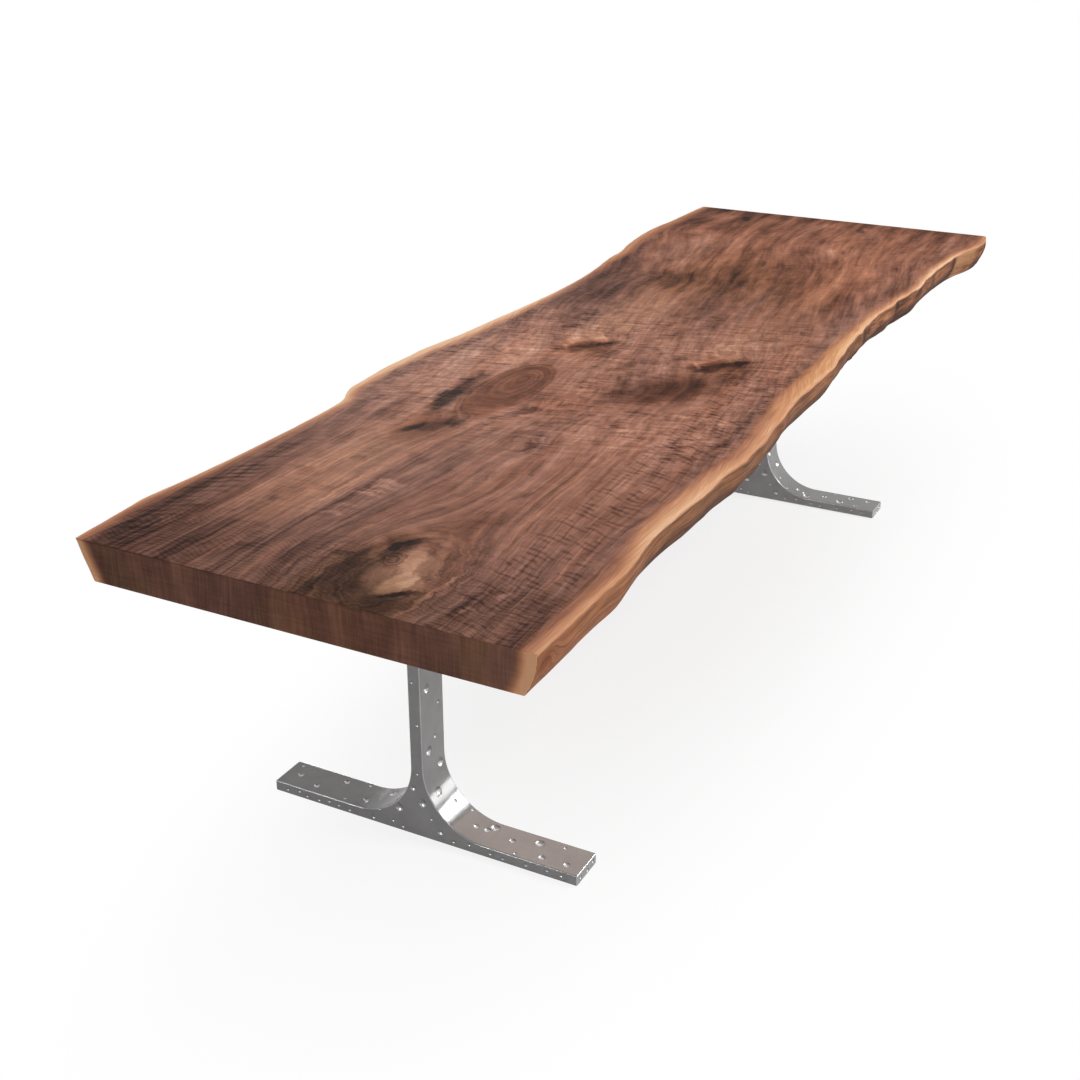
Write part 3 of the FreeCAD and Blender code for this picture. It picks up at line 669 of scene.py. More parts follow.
@dataclass(frozen=True)
class OiledWalnutFace:
    """The sawn and oiled faces: heartwood with streaks, curl, knots and flecks between two pale bands."""

    knot: Ellipse = Ellipse(-1335.0, -172.0, 185.0, 88.0, 4.0)
    knot_rings: Ellipse = Ellipse(-1298.0, -142.0, 30.0, 20.0, 12.0)
    eye: Ellipse = Ellipse(-372.0, 110.0, 78.0, 32.0, 2.0)
    specular: float = 0.02

    def level_map(self, graph: Graph, x: Signal, y: Signal, spot: Signal) -> Signal:
        """Gives the grain's level, whose equal values are the grain lines.

        The level is the place across the board, less the climb of the grain up to that place along it,
        plus slow sways, plus a hill for each swirl that falls off like a bell. Round the big knot the
        lines part like a stream round a stone: the height over its middle is lessened by its share of
        the squared distance, so the knot's outline is itself a line, and within it they close into rings.

        Args:
            graph: the finish.
            x: the place along the board.
            y: the place across it.
            spot: both, a little stirred, with 1 as the third number.

        Returns:
            The level, in millimetres.
        """
        sway = graph.grain(x / 760.0, y / 330.0, 1.0)
        wobble = graph.grain(x / 150.0, y / 55.0)
        level = y - graph.attribute("climb") + sway * 90.0 + wobble * 12.0
        for swirl in SWIRLS:
            hill = graph.math("EXPONENT", graph.ellipse(spot, swirl) * -0.5)
            level = graph.math("MULTIPLY_ADD", hill, swirl.height, level)
        knot = graph.ellipse(spot, self.knot)
        parted = level - (y - self.knot.y) / knot.over(1.0)
        inside = knot.power(0.5).under(1.0) - 1.0
        return parted + inside * self.knot.wide

    def curl_map(self, graph: Graph, x: Signal, y: Signal) -> Signal:
        """Gives the dark dashes of the curly grain, which lean one way along each edge of the board.

        A row of even waves across the grain, bent by noise, is cut into short dashes by a second noise.

        Args:
            graph: the finish.
            x: the place along the board.
            y: the place across it.

        Returns:
            How dark the dashes are.
        """
        curl = graph.attribute("curl")
        warp = graph.grain(x / 130.0, y / 90.0) * 34.0
        right = graph.math("SINE", (x - y * 0.34 + warp) * (2 * math.pi / 17.0))
        left = graph.math("SINE", (x + y * 0.62 + warp) * (2 * math.pi / 25.0))
        weave = graph.math("SINE", (x - y * 0.10 + warp * 1.6) * (2 * math.pi / 10.0))
        right_cut = graph.cloud((x - y * 0.34) / 26.0, y / 46.0, 2.0, 0.6).rise(0.42, 0.60)
        left_cut = graph.cloud((x + y * 0.62) / 46.0, y / 70.0, 2.0, 0.6).rise(0.34, 0.62)
        return (right.rise(-0.6, 1.0) * right_cut * curl.over(0.0)
                + left.rise(-0.7, 1.0) * left_cut * (curl * -1.0).over(0.0)
                + weave * graph.attribute("weave") * 0.26)

    def build(self) -> bpy.types.Material:
        """Makes the finish.

        The tone is the sum of the grain's layers, each a noise stretched along the level map, and of the
        marks laid over them. The warmth and the olive tint turn its colour, and the pale band replaces it
        near the live edges.

        Returns:
            The material.
        """
        graph = Finish("oiled_walnut_face")
        x, y, _ = graph.split(graph.millimetres(-FIGURE_Y))
        flat = graph.vector(x, y)
        stir_x, stir_y, _ = graph.split(graph.noise(graph.shrunk(flat, 34.0), 3.0, 0.62, output="Color"))
        spot = graph.vector(x + (stir_x - 0.5) * 34.0, y + (stir_y - 0.5) * 30.0, 1.0)
        level = self.level_map(graph, x, y, spot)
        reach = graph.attribute("reach")

        still = graph.vector(x + (stir_x - 0.5) * 7.0, y + (stir_y - 0.5) * 7.0, 1.0)
        from_focus = graph.ellipse(still, self.eye).power(0.5) + (x - self.eye.x) * (0.42 / self.eye.long)
        eye = from_focus.rise(2.20, 1.78)
        level = level + (from_focus * 30.0 - level) * eye

        broad = graph.grain(x / 1000.0, level / 58.0, 3.0, 0.55)
        fine = graph.grain(x / 260.0, level / 10.0, 3.0, 0.65)
        hair = graph.grain(x / 80.0, level / 2.3, 2.0, 0.65)
        mottle = graph.grain(x / 62.0, y / 40.0, 4.0, 0.62)
        ripple = graph.grain((x + level * 0.5) / 42.0, level / 14.0, 3.0, 0.60)
        smudge = graph.cloud((x + y * 0.22) / 11.0, y / 30.0).rise(0.58, 0.76)
        scatter = graph.cloud(x / 110.0, y / 80.0 + 5.0, 1.0).rise(0.46, 0.64)
        pores = graph.cloud(x / 16.0, level / 1.1, 1.0).rise(0.58, 0.74)
        dashes = graph.cloud((x + y * 0.22) / 6.0, y / 55.0).rise(0.54, 0.74)
        ribbon = graph.grain((x + y * 0.26) / 13.0, y / 85.0)
        figure = graph.attribute("figure")
        calm = graph.attribute("calm")
        plain = (figure * -0.52 - calm * 0.50 - graph.attribute("still") * 0.75 + 1.12) * (eye * -0.4 + 1.0)
        cloud = graph.grain(x / 130.0, level / 24.0, 3.0, 0.55)
        bank = graph.grain(x / 340.0, level / 46.0)
        tone = graph.attribute("tone") + broad * 0.55 + (fine * 0.66 + hair * 0.34) * plain
        tone = tone + mottle * (figure * 0.12 - calm * 0.10 + 0.28) + (cloud * 0.58 + bank * 0.42) * calm
        tone = tone + (ripple * 0.46 + ribbon * 0.36) * figure - smudge * scatter * figure * 0.16
        tone = tone - pores * 0.05
        tone = tone - dashes * (scatter * 0.7 + 0.3) * (figure * 0.19 + calm * 0.08 + 0.02)
        tone = tone - self.curl_map(graph, x, y) * (hair * 1.6 + 1.0) * 0.155
        tone = marked(graph, tone, spot, MARKS)
        ringed = graph.ellipse(spot, self.knot_rings)
        tone = tone + graph.math("SINE", ringed.power(0.5) * 15.0) * ringed.rise(1.3, 0.4) * 0.09
        rings = graph.math("SINE", from_focus * 19.0) * eye
        tone = tone - eye * 0.22 + rings * (x + 560.0).rise(0.0, 90.0) * 0.04
        tone = tone - (from_focus - 1.0).rise(0.0, 0.45) * (from_focus - 1.0).rise(0.9, 0.4) * 0.07

        stain = graph.grain(x / 520.0, level / 34.0)
        warmth = graph.attribute("warmth") + stain * (calm * -0.4 + 1.1)
        warmth = warmth + eye * 0.85 - ripple * figure * 0.12

        heart = graph.ramp(tone, TONES.heart)
        heart = graph.tinted(heart, graph.mix(warmth, TONES.cool, TONES.warm))
        heart = graph.mix(graph.attribute("moss"), heart, graph.tinted(heart, TONES.olive))
        edge = reach + graph.grain(x / 55.0, y / 9.0) * 12.0 - graph.attribute("sap_width")
        glow = graph.attribute("sap_light") + fine * 0.6 + hair * 0.5 + 0.09 - edge.rise(-26.0, 5.0) * 0.42
        sap = graph.ramp(glow + reach.rise(14.0, 1.0) * 0.18, TONES.sap)
        sap = graph.mix(graph.attribute("golden"), sap, graph.tinted(sap, TONES.golden))
        return graph.done(graph.mix(edge.rise(13.0, -12.0), heart, sap), hair * 0.25 + 0.60,
                          hair * 0.6 - pores * 0.5, 0.00025, specular=self.specular)


@dataclass(frozen=True)
class LiveEdge:
    """The waney faces where the bark came off: long fibres, a golden rim, a swirl, and painted shade in the
    hollows and towards the underside.

    The left face carries the same notches as the right one, moved along by left_shift.
    """

    swirl: Ellipse = Ellipse(-1446.0, 27.0, 27.0, 15.0, -8.0)
    specular: float = 0.03
    left_shift: float = 340.0

    def build(self) -> bpy.types.Material:
        """Makes the finish.

        Returns:
            The material.
        """
        graph = Finish("walnut_live_edge")
        x, y, z = graph.split(graph.millimetres(-FIGURE_Y))
        depth = BOARD_TOP - z
        spot = graph.vector(x, depth, 1.0)
        swirl = graph.ellipse(spot, self.swirl)
        wander = graph.grain(x / 160.0, depth / 60.0) * 26.0
        across = depth + wander + graph.math("EXPONENT", swirl * -0.4) * 30.0
        fibre = graph.grain(x / 210.0, across / 6.0, 4.0, 0.6)
        strand = graph.grain(x / 60.0, across / 1.8, 2.0, 0.6)
        blotch = graph.grain(x / 70.0, across / 26.0, 3.0, 0.6)
        crack = graph.cloud(x / 95.0 + 3.0, across / 15.0, 3.0, 0.6).rise(0.60, 0.72)
        tone = graph.attribute("tone") + fibre * 0.62 + strand * 0.24 + blotch * 0.34
        tone = tone - crack * (x - 100.0).rise(0.0, 400.0) * 0.16
        # painted shade: darker in the hollows below the crest and towards the underside
        tone = tone - graph.attribute("hollow") * 0.40 - swirl.rise(1.3, 0.0) * 0.12
        along = x + y.rise(0.0, 10.0) * self.left_shift + blotch * 30.0
        tone = marked(graph, tone, graph.vector(along, depth + fibre * 16.0, 1.0), EDGE_MARKS)
        wood = graph.ramp(tone, TONES.bark_side)
        warmth = graph.attribute("warmth") + blotch * 0.9 + depth / BOARD_THICK * 0.25
        warmth = warmth + swirl.rise(1.6, 0.4) * 0.4
        wood = graph.mix(warmth, graph.tinted(wood, TONES.bark_cool), graph.tinted(wood, TONES.bark_warm))
        rim = (depth + blotch * 9.0 - graph.attribute("rim")).rise(4.0, -3.0)
        gold = graph.ramp(graph.attribute("sap_light") + strand * 0.3 + fibre * 0.3 + 0.16, TONES.sap)
        return graph.done(graph.mix(rim, wood, gold), strand * 0.3 + 0.6, fibre * 1.0 + strand * 0.5, 0.0012,
                          specular=self.specular)


@dataclass(frozen=True)
class EndGrain:
    """The crosscut ends: dark, with the growth lines standing up across the thickness."""

    specular: float = 0.04

    def build(self) -> bpy.types.Material:
        """Makes the finish.

        Returns:
            The material.
        """
        graph = Finish("walnut_end_grain")
        _, y, z = graph.split(graph.millimetres(-FIGURE_Y))
        lean = y + graph.grain(y / 150.0, z / 200.0, 1.0) * 30.0
        bands = graph.grain(lean / 64.0, z / 200.0, 3.0, 0.6)
        lines = graph.grain(lean / 6.0, z / 120.0, 3.0, 0.6)
        saw = graph.grain(y / 60.0, z / 5.0)
        specks = graph.cloud(y / 1.6, z / 2.4, 1.0).rise(0.62, 0.78)
        tone = graph.attribute("tone") + bands * 0.46 + lines * 0.27 + saw * 0.14 - specks * 0.05
        warmth = graph.attribute("warmth") + bands * 0.8
        heart = graph.tinted(graph.ramp(tone, TONES.heart), graph.mix(warmth, TONES.cool, TONES.warm))
        green = graph.cloud(y / 90.0 + 4.0, z / 150.0).rise(0.52, 0.66) * 0.7
        heart = graph.mix(green, heart, graph.tinted(heart, TONES.olive))
        edge = graph.attribute("reach") + lines * 8.0 + bands * 10.0 - graph.attribute("sap_width")
        glow = graph.attribute("sap_light") + lines * 0.3 + saw * 0.2 - edge.rise(-20.0, 6.0) * 0.36 + 0.54
        sap = graph.tinted(graph.ramp(glow, TONES.sap), TONES.honey)
        return graph.done(graph.mix(edge.rise(13.0, -11.0), heart, sap), lines * 0.2 + 0.62,
                          lines + saw * 0.5, 0.0003, specular=self.specular)


# ---------------------------------------------------------------------------------- the metals


class Metal(Enum):
    """The metals and the one plastic of the fittings, by what they are."""

    POWDER_COAT = "black_powder_coat"
    ZINC = "zinc_plated_steel"
    BRASS = "turned_brass"
    NYLON = "moulded_nylon"


@dataclass(frozen=True)
class CastAluminium:
    """The pedestals' satin casting: grey and a little cloudy.

    It is polished along its arrises. Pit walls that look upward carry a painted highlight, and faces that
    look straight up a painted shade.
    """

    colour: Colour = (0.255, 0.253, 0.252)
    worn: Colour = (0.58, 0.58, 0.59)
    # colour of the painted highlight on pit walls that look upward
    pit: Colour = (0.72, 0.72, 0.73)
    # tint of the painted shade on faces that look straight up
    painted_top_shade: Colour = (0.80, 0.80, 0.80)
    metallic: float = 0.25
    roughness: float = 0.14

    def build(self) -> bpy.types.Material:
        """Makes the finish.

        Returns:
            The material.
        """
        graph = Finish("satin_cast_aluminium")
        where = graph.millimetres()
        cloud = graph.grit(where, 46.0, 3.0)
        grit = graph.grit(where, 1.6, 2.0)
        skin = graph.shades(cloud * 2.0 + grit * 0.5 + 0.5, self.colour, 0.10)
        skin = graph.mix(graph.attribute("worn") * (cloud * 0.8 + 0.75), skin, self.worn)
        # painted shade: faces that look straight up are darkened
        skin = graph.mix(graph.attribute("level"), skin, graph.tinted(skin, self.painted_top_shade))
        # painted highlight: pit walls that look upward are lightened
        return graph.done(graph.mix(graph.attribute("painted_pit_highlight"), skin, self.pit),
                          cloud * 0.12 + grit * 0.06 + self.roughness, grit, 0.00006, self.metallic)


@dataclass(frozen=True)
class FittingFinish:
    """A finish for the small fittings: its kind, colour, shine and the size of its speckle."""

    kind: Metal
    colour: Colour
    metallic: float
    roughness: float
    speckle: float

    def build(self) -> bpy.types.Material:
        """Makes the finish.

        Returns:
            The material.
        """
        graph = Finish(self.kind.value)
        where = graph.millimetres()
        speck = graph.grit(where, self.speckle, 3.0)
        wear = graph.grit(where, 9.0, 2.0)
        return graph.done(graph.shades(speck * 1.2 + wear * 1.2 + 0.5, self.colour, 0.18),
                          speck * 0.2 + wear * 0.2 + self.roughness, speck, 0.00008, self.metallic)


FITTING_FINISHES = (
    FittingFinish(Metal.POWDER_COAT, (0.028, 0.028, 0.030), 0.0, 0.48, 0.9),
    FittingFinish(Metal.ZINC, (0.52, 0.53, 0.55), 1.0, 0.34, 2.2),
    FittingFinish(Metal.BRASS, (0.62, 0.44, 0.18), 1.0, 0.30, 1.5),
    FittingFinish(Metal.NYLON, (0.045, 0.045, 0.048), 0.0, 0.52, 1.2),
)


# ---------------------------------------------------------------------------------- shape kit

CELLS = 96


def smooth_line(points: Sequence[tuple[float, float]], x: np.ndarray) -> np.ndarray:
    """Runs a smooth line through listed points.

    Between two points it is the cubic whose slope at each point is the weighted mean of the chords to
    that point's neighbours.

    Args:
        points: pairs of place and value, in order.
        x: the places wanted.

    Returns:
        The values there.
    """
    at, value = np.array(points, float).T
    slope = np.gradient(value, at)
    i = np.clip(np.searchsorted(at, x) - 1, 0, len(at) - 2)
    span = at[i + 1] - at[i]
    t = (x - at[i]) / span
    return ((2 * t**3 - 3 * t**2 + 1) * value[i] + (t**3 - 2 * t**2 + t) * span * slope[i]
            + (3 * t**2 - 2 * t**3) * value[i + 1] + (t**3 - t**2) * span * slope[i + 1])


def along_board(x: np.ndarray, rows: Sequence[tuple[float, ...]]) -> np.ndarray:
    """Reads a table's columns at places along the board, by straight lines between its rows.

    Args:
        x: the places.
        rows: the table; the first number of each row is its own place.

    Returns:
        One row of values for each of the other columns.
    """
    at, *columns = np.array(rows, float).T
    return np.stack([np.interp(x, at, column) for column in columns])


def soft_noise(u: np.ndarray, v: Union[np.ndarray, float], seed: int) -> np.ndarray:
    """Gives smooth noise between -1 and 1: random values on a lattice, blended by smooth steps.

    Args:
        u: the first coordinate, one unit per lattice cell.
        v: the second one.
        seed: which lattice.

    Returns:
        The noise at each place.
    """
    lattice = np.random.default_rng(seed).uniform(-1.0, 1.0, (CELLS + 1, CELLS + 1))
    u, v = np.broadcast_arrays(u, v)
    i, j = np.floor(u).astype(int), np.floor(v).astype(int)
    a, b = u - i, v - j
    a, b = a * a * (3 - 2 * a), b * b * (3 - 2 * b)
    i, j = i % CELLS, j % CELLS
    low = lattice[i, j] * (1 - a) + lattice[i + 1, j] * a
    high = lattice[i, j + 1] * (1 - a) + lattice[i + 1, j + 1] * a
    return low * (1 - b) + high * b


def patch_strength(x: np.ndarray, y: np.ndarray, patch: Patch) -> np.ndarray:
    """Gives a patch's strength: the exponential of minus half the cube of the distance in its own sizes.

    Args:
        x: the places along the board.
        y: the places across it.
        patch: the patch.

    Returns:
        The strength, 1 in the middle.
    """
    turn = math.radians(patch.turn)
    along = (x - patch.x) * math.cos(turn) + (y - patch.y) * math.sin(turn)
    across = (y - patch.y) * math.cos(turn) - (x - patch.x) * math.sin(turn)
    away = (along / patch.long) ** 2 + (across / patch.wide) ** 2
    return np.exp(-0.5 * away ** 1.5)


def bell(value: np.ndarray, middle: float, width: float) -> np.ndarray:
    """Gives a bell curve that is 1 at its middle."""
    return np.exp(-0.5 * ((value - middle) / width) ** 2)


def step(value: np.ndarray, start: float, end: float) -> np.ndarray:
    """Goes smoothly from 0 at start to 1 at end."""
    t = np.clip((value - start) / (end - start), 0.0, 1.0)
    return t * t * (3 - 2 * t)


def fall(value: np.ndarray, start: float, end: float) -> np.ndarray:
    """Goes smoothly from 1 at start to 0 at end."""
    return step(-value, -end, -start)


def read_vectors(items: bpy.types.bpy_prop_collection, key: str) -> np.ndarray:
    """Reads a vector from each vertex or face, as one row each.

    Args:
        items: the mesh's vertices or faces.
        key: which vector.

    Returns:
        The rows.
    """
    flat = np.empty(len(items) * 3)
    items.foreach_get(key, flat)
    return flat.reshape(-1, 3)


def mesh_piece(name: str, points: np.ndarray, faces: np.ndarray, zones: Optional[np.ndarray] = None
               ) -> bpy.types.Object:
    """Makes a mesh object at the origin from arrays.

    Args:
        name: the piece's name.
        points: its vertices, in metres.
        faces: its quads, as rows of four vertex numbers.
        zones: the material slot of each face.

    Returns:
        The object, linked to the scene.
    """
    mesh = bpy.data.meshes.new(name)
    mesh.from_pydata(points.tolist(), [], faces.tolist())
    if zones is not None:
        mesh.polygons.foreach_set("material_index", zones.astype(np.int32))
    mesh.polygons.foreach_set("use_smooth", np.ones(len(mesh.polygons), bool))
    mesh.update()
    piece = bpy.data.objects.new(name, mesh)
    bpy.context.scene.collection.objects.link(piece)
    return piece


def apply_modifiers(piece: bpy.types.Object) -> None:
    """Bakes a piece's modifiers into its mesh.

    Args:
        piece: the piece.
    """
    bpy.context.view_layer.update()
    shaped = piece.evaluated_get(bpy.context.evaluated_depsgraph_get())
    mesh = bpy.data.meshes.new_from_object(shaped)
    piece.modifiers.clear()
    piece.data = mesh


def weigh_normals(piece: bpy.types.Object, keep_sharp: bool) -> None:
    """Lets the large faces rule the shading, so that flats stay flat beside their eased arrises.

    Args:
        piece: the piece.
        keep_sharp: whether its sharp edges stay sharp.
    """
    made = piece.modifiers.new("weigh_normals", "WEIGHTED_NORMAL")
    made.mode = "FACE_AREA"
    made.weight = 100
    made.keep_sharp = keep_sharp
    apply_modifiers(piece)


def write_attribute(mesh: bpy.types.Mesh, name: str, values: np.ndarray, domain: str = "POINT") -> None:
    """Stores one number per vertex, or per face, under a name that the materials read."""
    mesh.attributes.new(name, "FLOAT", domain).data.foreach_set("value", values.astype(np.float32))


# ---------------------------------------------------------------------------------- the slab

# Each line is a live edge seen from above: (along, across) in the figure's millimetres.
RIGHT_EDGE = (
    (-1480, -501), (-1350, -499), (-1250, -498), (-1150, -498), (-1100, -491), (-1050, -484), (-1000, -481),
    (-900, -482), (-850, -485), (-760, -486), (-700, -487), (-650, -491), (-620, -493), (-550, -490),
    (-500, -491), (-450, -486), (-400, -480), (-350, -479), (-300, -472), (-250, -467), (-100, -466),
    (50, -464), (100, -457), (150, -454), (200, -447), (250, -445), (300, -441), (320, -444), (350, -440),
    (400, -437), (500, -435), (550, -440), (600, -444), (650, -443), (700, -450), (750, -455), (790, -459),
    (850, -457), (900, -454), (1000, -454), (1100, -457), (1180, -463), (1250, -474), (1300, -487),
    (1350, -495), (1400, -497), (1450, -491), (1480, -482),
)
LEFT_EDGE = (
    (-1480, 380), (-1400, 386), (-1350, 390), (-1300, 394), (-1250, 392), (-1200, 387), (-1100, 380),
    (-1000, 377), (-750, 377), (-700, 380), (-670, 387), (-650, 397), (-630, 406), (-610, 413), (-550, 419),
    (-500, 423), (-450, 426), (-350, 424), (-300, 424), (-250, 419), (-200, 412), (-150, 406), (-100, 402),
    (0, 397), (100, 390), (200, 385), (300, 381), (400, 381), (500, 386), (550, 391), (600, 397),
    (650, 405), (700, 411), (800, 418), (850, 429), (900, 437), (950, 443), (1000, 448), (1050, 451),
    (1150, 451), (1200, 446), (1300, 442), (1400, 440), (1480, 436),
)
# How wide and how light the pale sapwood band is beside each edge: (along, width, light).
RIGHT_SAP = (
    (-1480, 27, 0.50), (-1250, 24, 0.50), (-1120, 27, 0.56), (-1000, 36, 0.69), (-850, 40, 0.73),
    (-700, 34, 0.58), (-560, 33, 0.50), (-420, 38, 0.50), (-300, 42, 0.54), (-150, 43, 0.57), (0, 46, 0.59),
    (120, 40, 0.66), (250, 30, 0.70), (400, 23, 0.72), (560, 20, 0.66), (700, 15, 0.62), (860, 17, 0.88),
    (1000, 18, 0.94), (1150, 18, 0.80), (1300, 22, 0.52), (1480, 20, 0.44),
)
LEFT_SAP = (
    (-1480, 18, 0.54), (-1250, 18, 0.56), (-1000, 16, 0.62), (-800, 17, 0.64), (-650, 24, 0.82),
    (-480, 27, 0.98), (-300, 31, 0.98), (-100, 32, 0.90), (60, 28, 0.92), (220, 20, 0.86), (400, 10, 0.66),
    (560, 12, 0.58), (700, 27, 0.50), (850, 31, 0.56), (1000, 33, 0.52), (1150, 34, 0.40), (1300, 25, 0.42),
    (1480, 24, 0.42),
)
# The two waney faces, along the board: (along, tone, warmth, rim depth, ridge height).
RIGHT_FACE = (
    (-1480, 0.56, 0.60, 3, 0.5), (-1380, 0.57, 0.60, 3, 0.8), (-1200, 0.60, 0.45, 3, 1.2),
    (-1050, 0.52, 0.35, 4, 3.0), (-900, 0.50, 0.20, 5, 4.2), (-700, 0.49, 0.20, 5, 4.6),
    (-450, 0.48, 0.25, 5, 5.0), (-250, 0.46, 0.30, 5, 5.0), (0, 0.46, 0.30, 6, 5.0),
    (200, 0.43, 0.35, 5, 6.0), (400, 0.43, 0.45, 3, 6.5), (650, 0.43, 0.45, 3, 6.0),
    (900, 0.43, 0.40, 3, 6.0), (1130, 0.42, 0.40, 3, 6.5), (1175, 0.40, 0.30, 3, 4.5),
    (1200, 0.76, 0.08, 3, 2.0), (1310, 0.72, 0.10, 3, 2.0), (1345, 0.46, 0.45, 3, 4.0),
    (1480, 0.46, 0.60, 3, 5.0),
)
LEFT_FACE = (
    (-1480, 0.60, 0.45, 6, 1.0), (-1000, 0.56, 0.30, 6, 2.4), (-600, 0.52, 0.30, 7, 3.4),
    (-200, 0.48, 0.30, 7, 3.4), (200, 0.44, 0.40, 6, 3.6), (600, 0.40, 0.50, 5, 3.8),
    (1000, 0.42, 0.45, 5, 3.8), (1480, 0.38, 0.45, 4, 3.0),
)


# The turns, in degrees, at which an eased arris has its points between its two ends.
EASE_TURNS = (22.5, 45.0, 67.5)


class Zone(Enum):
    """The slab's three finishes, by the order of its material slots."""

    FACE = 0
    EDGE = 1
    END = 2


@dataclass
class WalnutSlab:
    """The top: a profile whose outline and waney sides change along the board, closed by two flat ends.

    stations, across and down count the mesh's points along the board, across it and down each waney side.
    The lengths are millimetres: the easing of the arrises, the undercut of each side at the bottom, the
    pace of the sum that gives the grain's climb, and how deep a full hollow of a waney side is.
    """

    node: str = "slab_top"
    body: str = "root"
    stations: int = 480
    across: int = 64
    down: int = 22
    ease: float = 1.8
    end_ease: float = 1.6
    right_undercut: float = 22.0
    right_roundness: float = 2.2
    left_undercut: float = 31.0
    left_roundness: float = 1.0
    climb_pace: float = 2.0
    hollow_depth: float = 8.0
    base_tone: float = 0.535
    base_warmth: float = 0.36
    near_end_tone: float = 0.42
    near_end_rise: float = 0.065
    box: tuple[Vector, Vector] = field(init=False)

    def __post_init__(self) -> None:
        """Reads the solid's box, in millimetres."""
        low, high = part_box(self.node)
        self.box = (low / MM, high / MM)

    @property
    def flank(self) -> int:
        """Gives how many of a profile's points lie on one waney side, its two arrises among them."""
        return self.down + 2 * len(EASE_TURNS)

    def edge_at(self, x: np.ndarray, v: np.ndarray, right: bool) -> np.ndarray:
        """Gives a waney face's place across the board.

        It is the outline, less an undercut that grows with a power of the depth, plus a wandering ridge
        shaped like a tent and a little lengthwise fluting, both of which vanish at the upper arris.

        Args:
            x: the place along the board, in the figure's millimetres.
            v: the depth, from 0 at the top to 1 at the bottom.
            right: whether it is the right face.

        Returns:
            The place across, in the figure's millimetres.
        """
        points, side, seed = (RIGHT_EDGE, -1.0, 11) if right else (LEFT_EDGE, 1.0, 47)

        def sway(lump: float, lane: Union[np.ndarray, float], layer: int) -> np.ndarray:
            """Gives one layer of noise along the board, in lumps of a length."""
            return soft_noise(x / lump, lane, seed + layer)

        ridge = along_board(x, RIGHT_FACE if right else LEFT_FACE)[3]
        outline = smooth_line(points, x) + sway(38.0, 0.5, 0) * 0.8
        crest = 0.40 + 0.17 * sway(230.0, 1.5, 1) + 0.07 * sway(70.0, 3.5, 2)
        tent = np.clip(1.0 - np.abs(v - crest) / np.where(v < crest, crest, 0.42), 0.0, 1.0)
        swell = 0.75 + 0.45 * sway(150.0, 5.5, 3)
        flute = sway(95.0, v * 4.5, 4) * 0.9 + sway(34.0, v * 9.0, 5) * 0.45
        relief = ridge * swell * tent ** 1.2 + flute * step(v, 0.0, 0.18) * (0.4 + 0.16 * ridge)
        return outline - side * self.undercut_at(v, right) + side * relief

    def undercut_at(self, v: np.ndarray, right: bool) -> np.ndarray:
        """Gives how far a waney face has leaned in at a depth.

        Args:
            v: the depth, from 0 at the top to 1 at the bottom.
            right: whether it is the right face.

        Returns:
            The way in, in millimetres.
        """
        if right:
            return self.right_undercut * v ** self.right_roundness
        return self.left_undercut * v ** self.left_roundness

    def ring(self, x: np.ndarray, inset: np.ndarray) -> tuple[np.ndarray, np.ndarray]:
        """Gives the closed profile at every station: over the top, down the left, back below and up.

        Args:
            x: the stations along the board.
            inset: how far each profile is drawn in, for the eased ends.

        Returns:
            The places across and the heights, one row per station.
        """
        low, high = self.box[0].z, self.box[1].z
        thick, ease = high - low, self.ease
        x = x[:, None]
        turn = np.radians(EASE_TURNS)[None, :]
        v = np.linspace(ease / thick, 1.0 - ease / thick, self.down)[None, :]
        zero = np.zeros_like(x)
        right, left = self.edge_at(x, zero, True), self.edge_at(x, zero, False)
        right_low, left_low = self.edge_at(x, zero + 1.0, True), self.edge_at(x, zero + 1.0, False)
        share = np.linspace(0.0, 1.0, self.across)[None, :]
        top_y = (right + ease) * (1 - share) + (left - ease) * share
        low_y = (left_low - ease) * (1 - share) + (right_low + ease) * share
        left_y, right_y = self.edge_at(x, v, False), self.edge_at(x, v, True)
        side_z = high - v * thick + zero
        over_z = high - ease + ease * np.cos(turn) + zero
        under_z = low + ease - ease * np.sin(turn) + zero
        reach = ease * (1 - np.sin(turn))
        back = ease * (1 - np.cos(turn))
        y = np.hstack([top_y, left - reach, left_y, left_low - back, low_y, (right_low + back)[:, ::-1],
                       right_y[:, ::-1], (right + reach)[:, ::-1]])
        z = np.hstack([np.full_like(top_y, high), over_z, side_z, under_z, np.full_like(low_y, low),
                       under_z[:, ::-1], side_z[:, ::-1], over_z[:, ::-1]])
        along_y, along_z = np.roll(y, -1, 1) - np.roll(y, 1, 1), np.roll(z, -1, 1) - np.roll(z, 1, 1)
        length = np.maximum(np.hypot(along_y, along_z), 1e-9)
        return y + along_z / length * inset[:, None], z - along_y / length * inset[:, None]

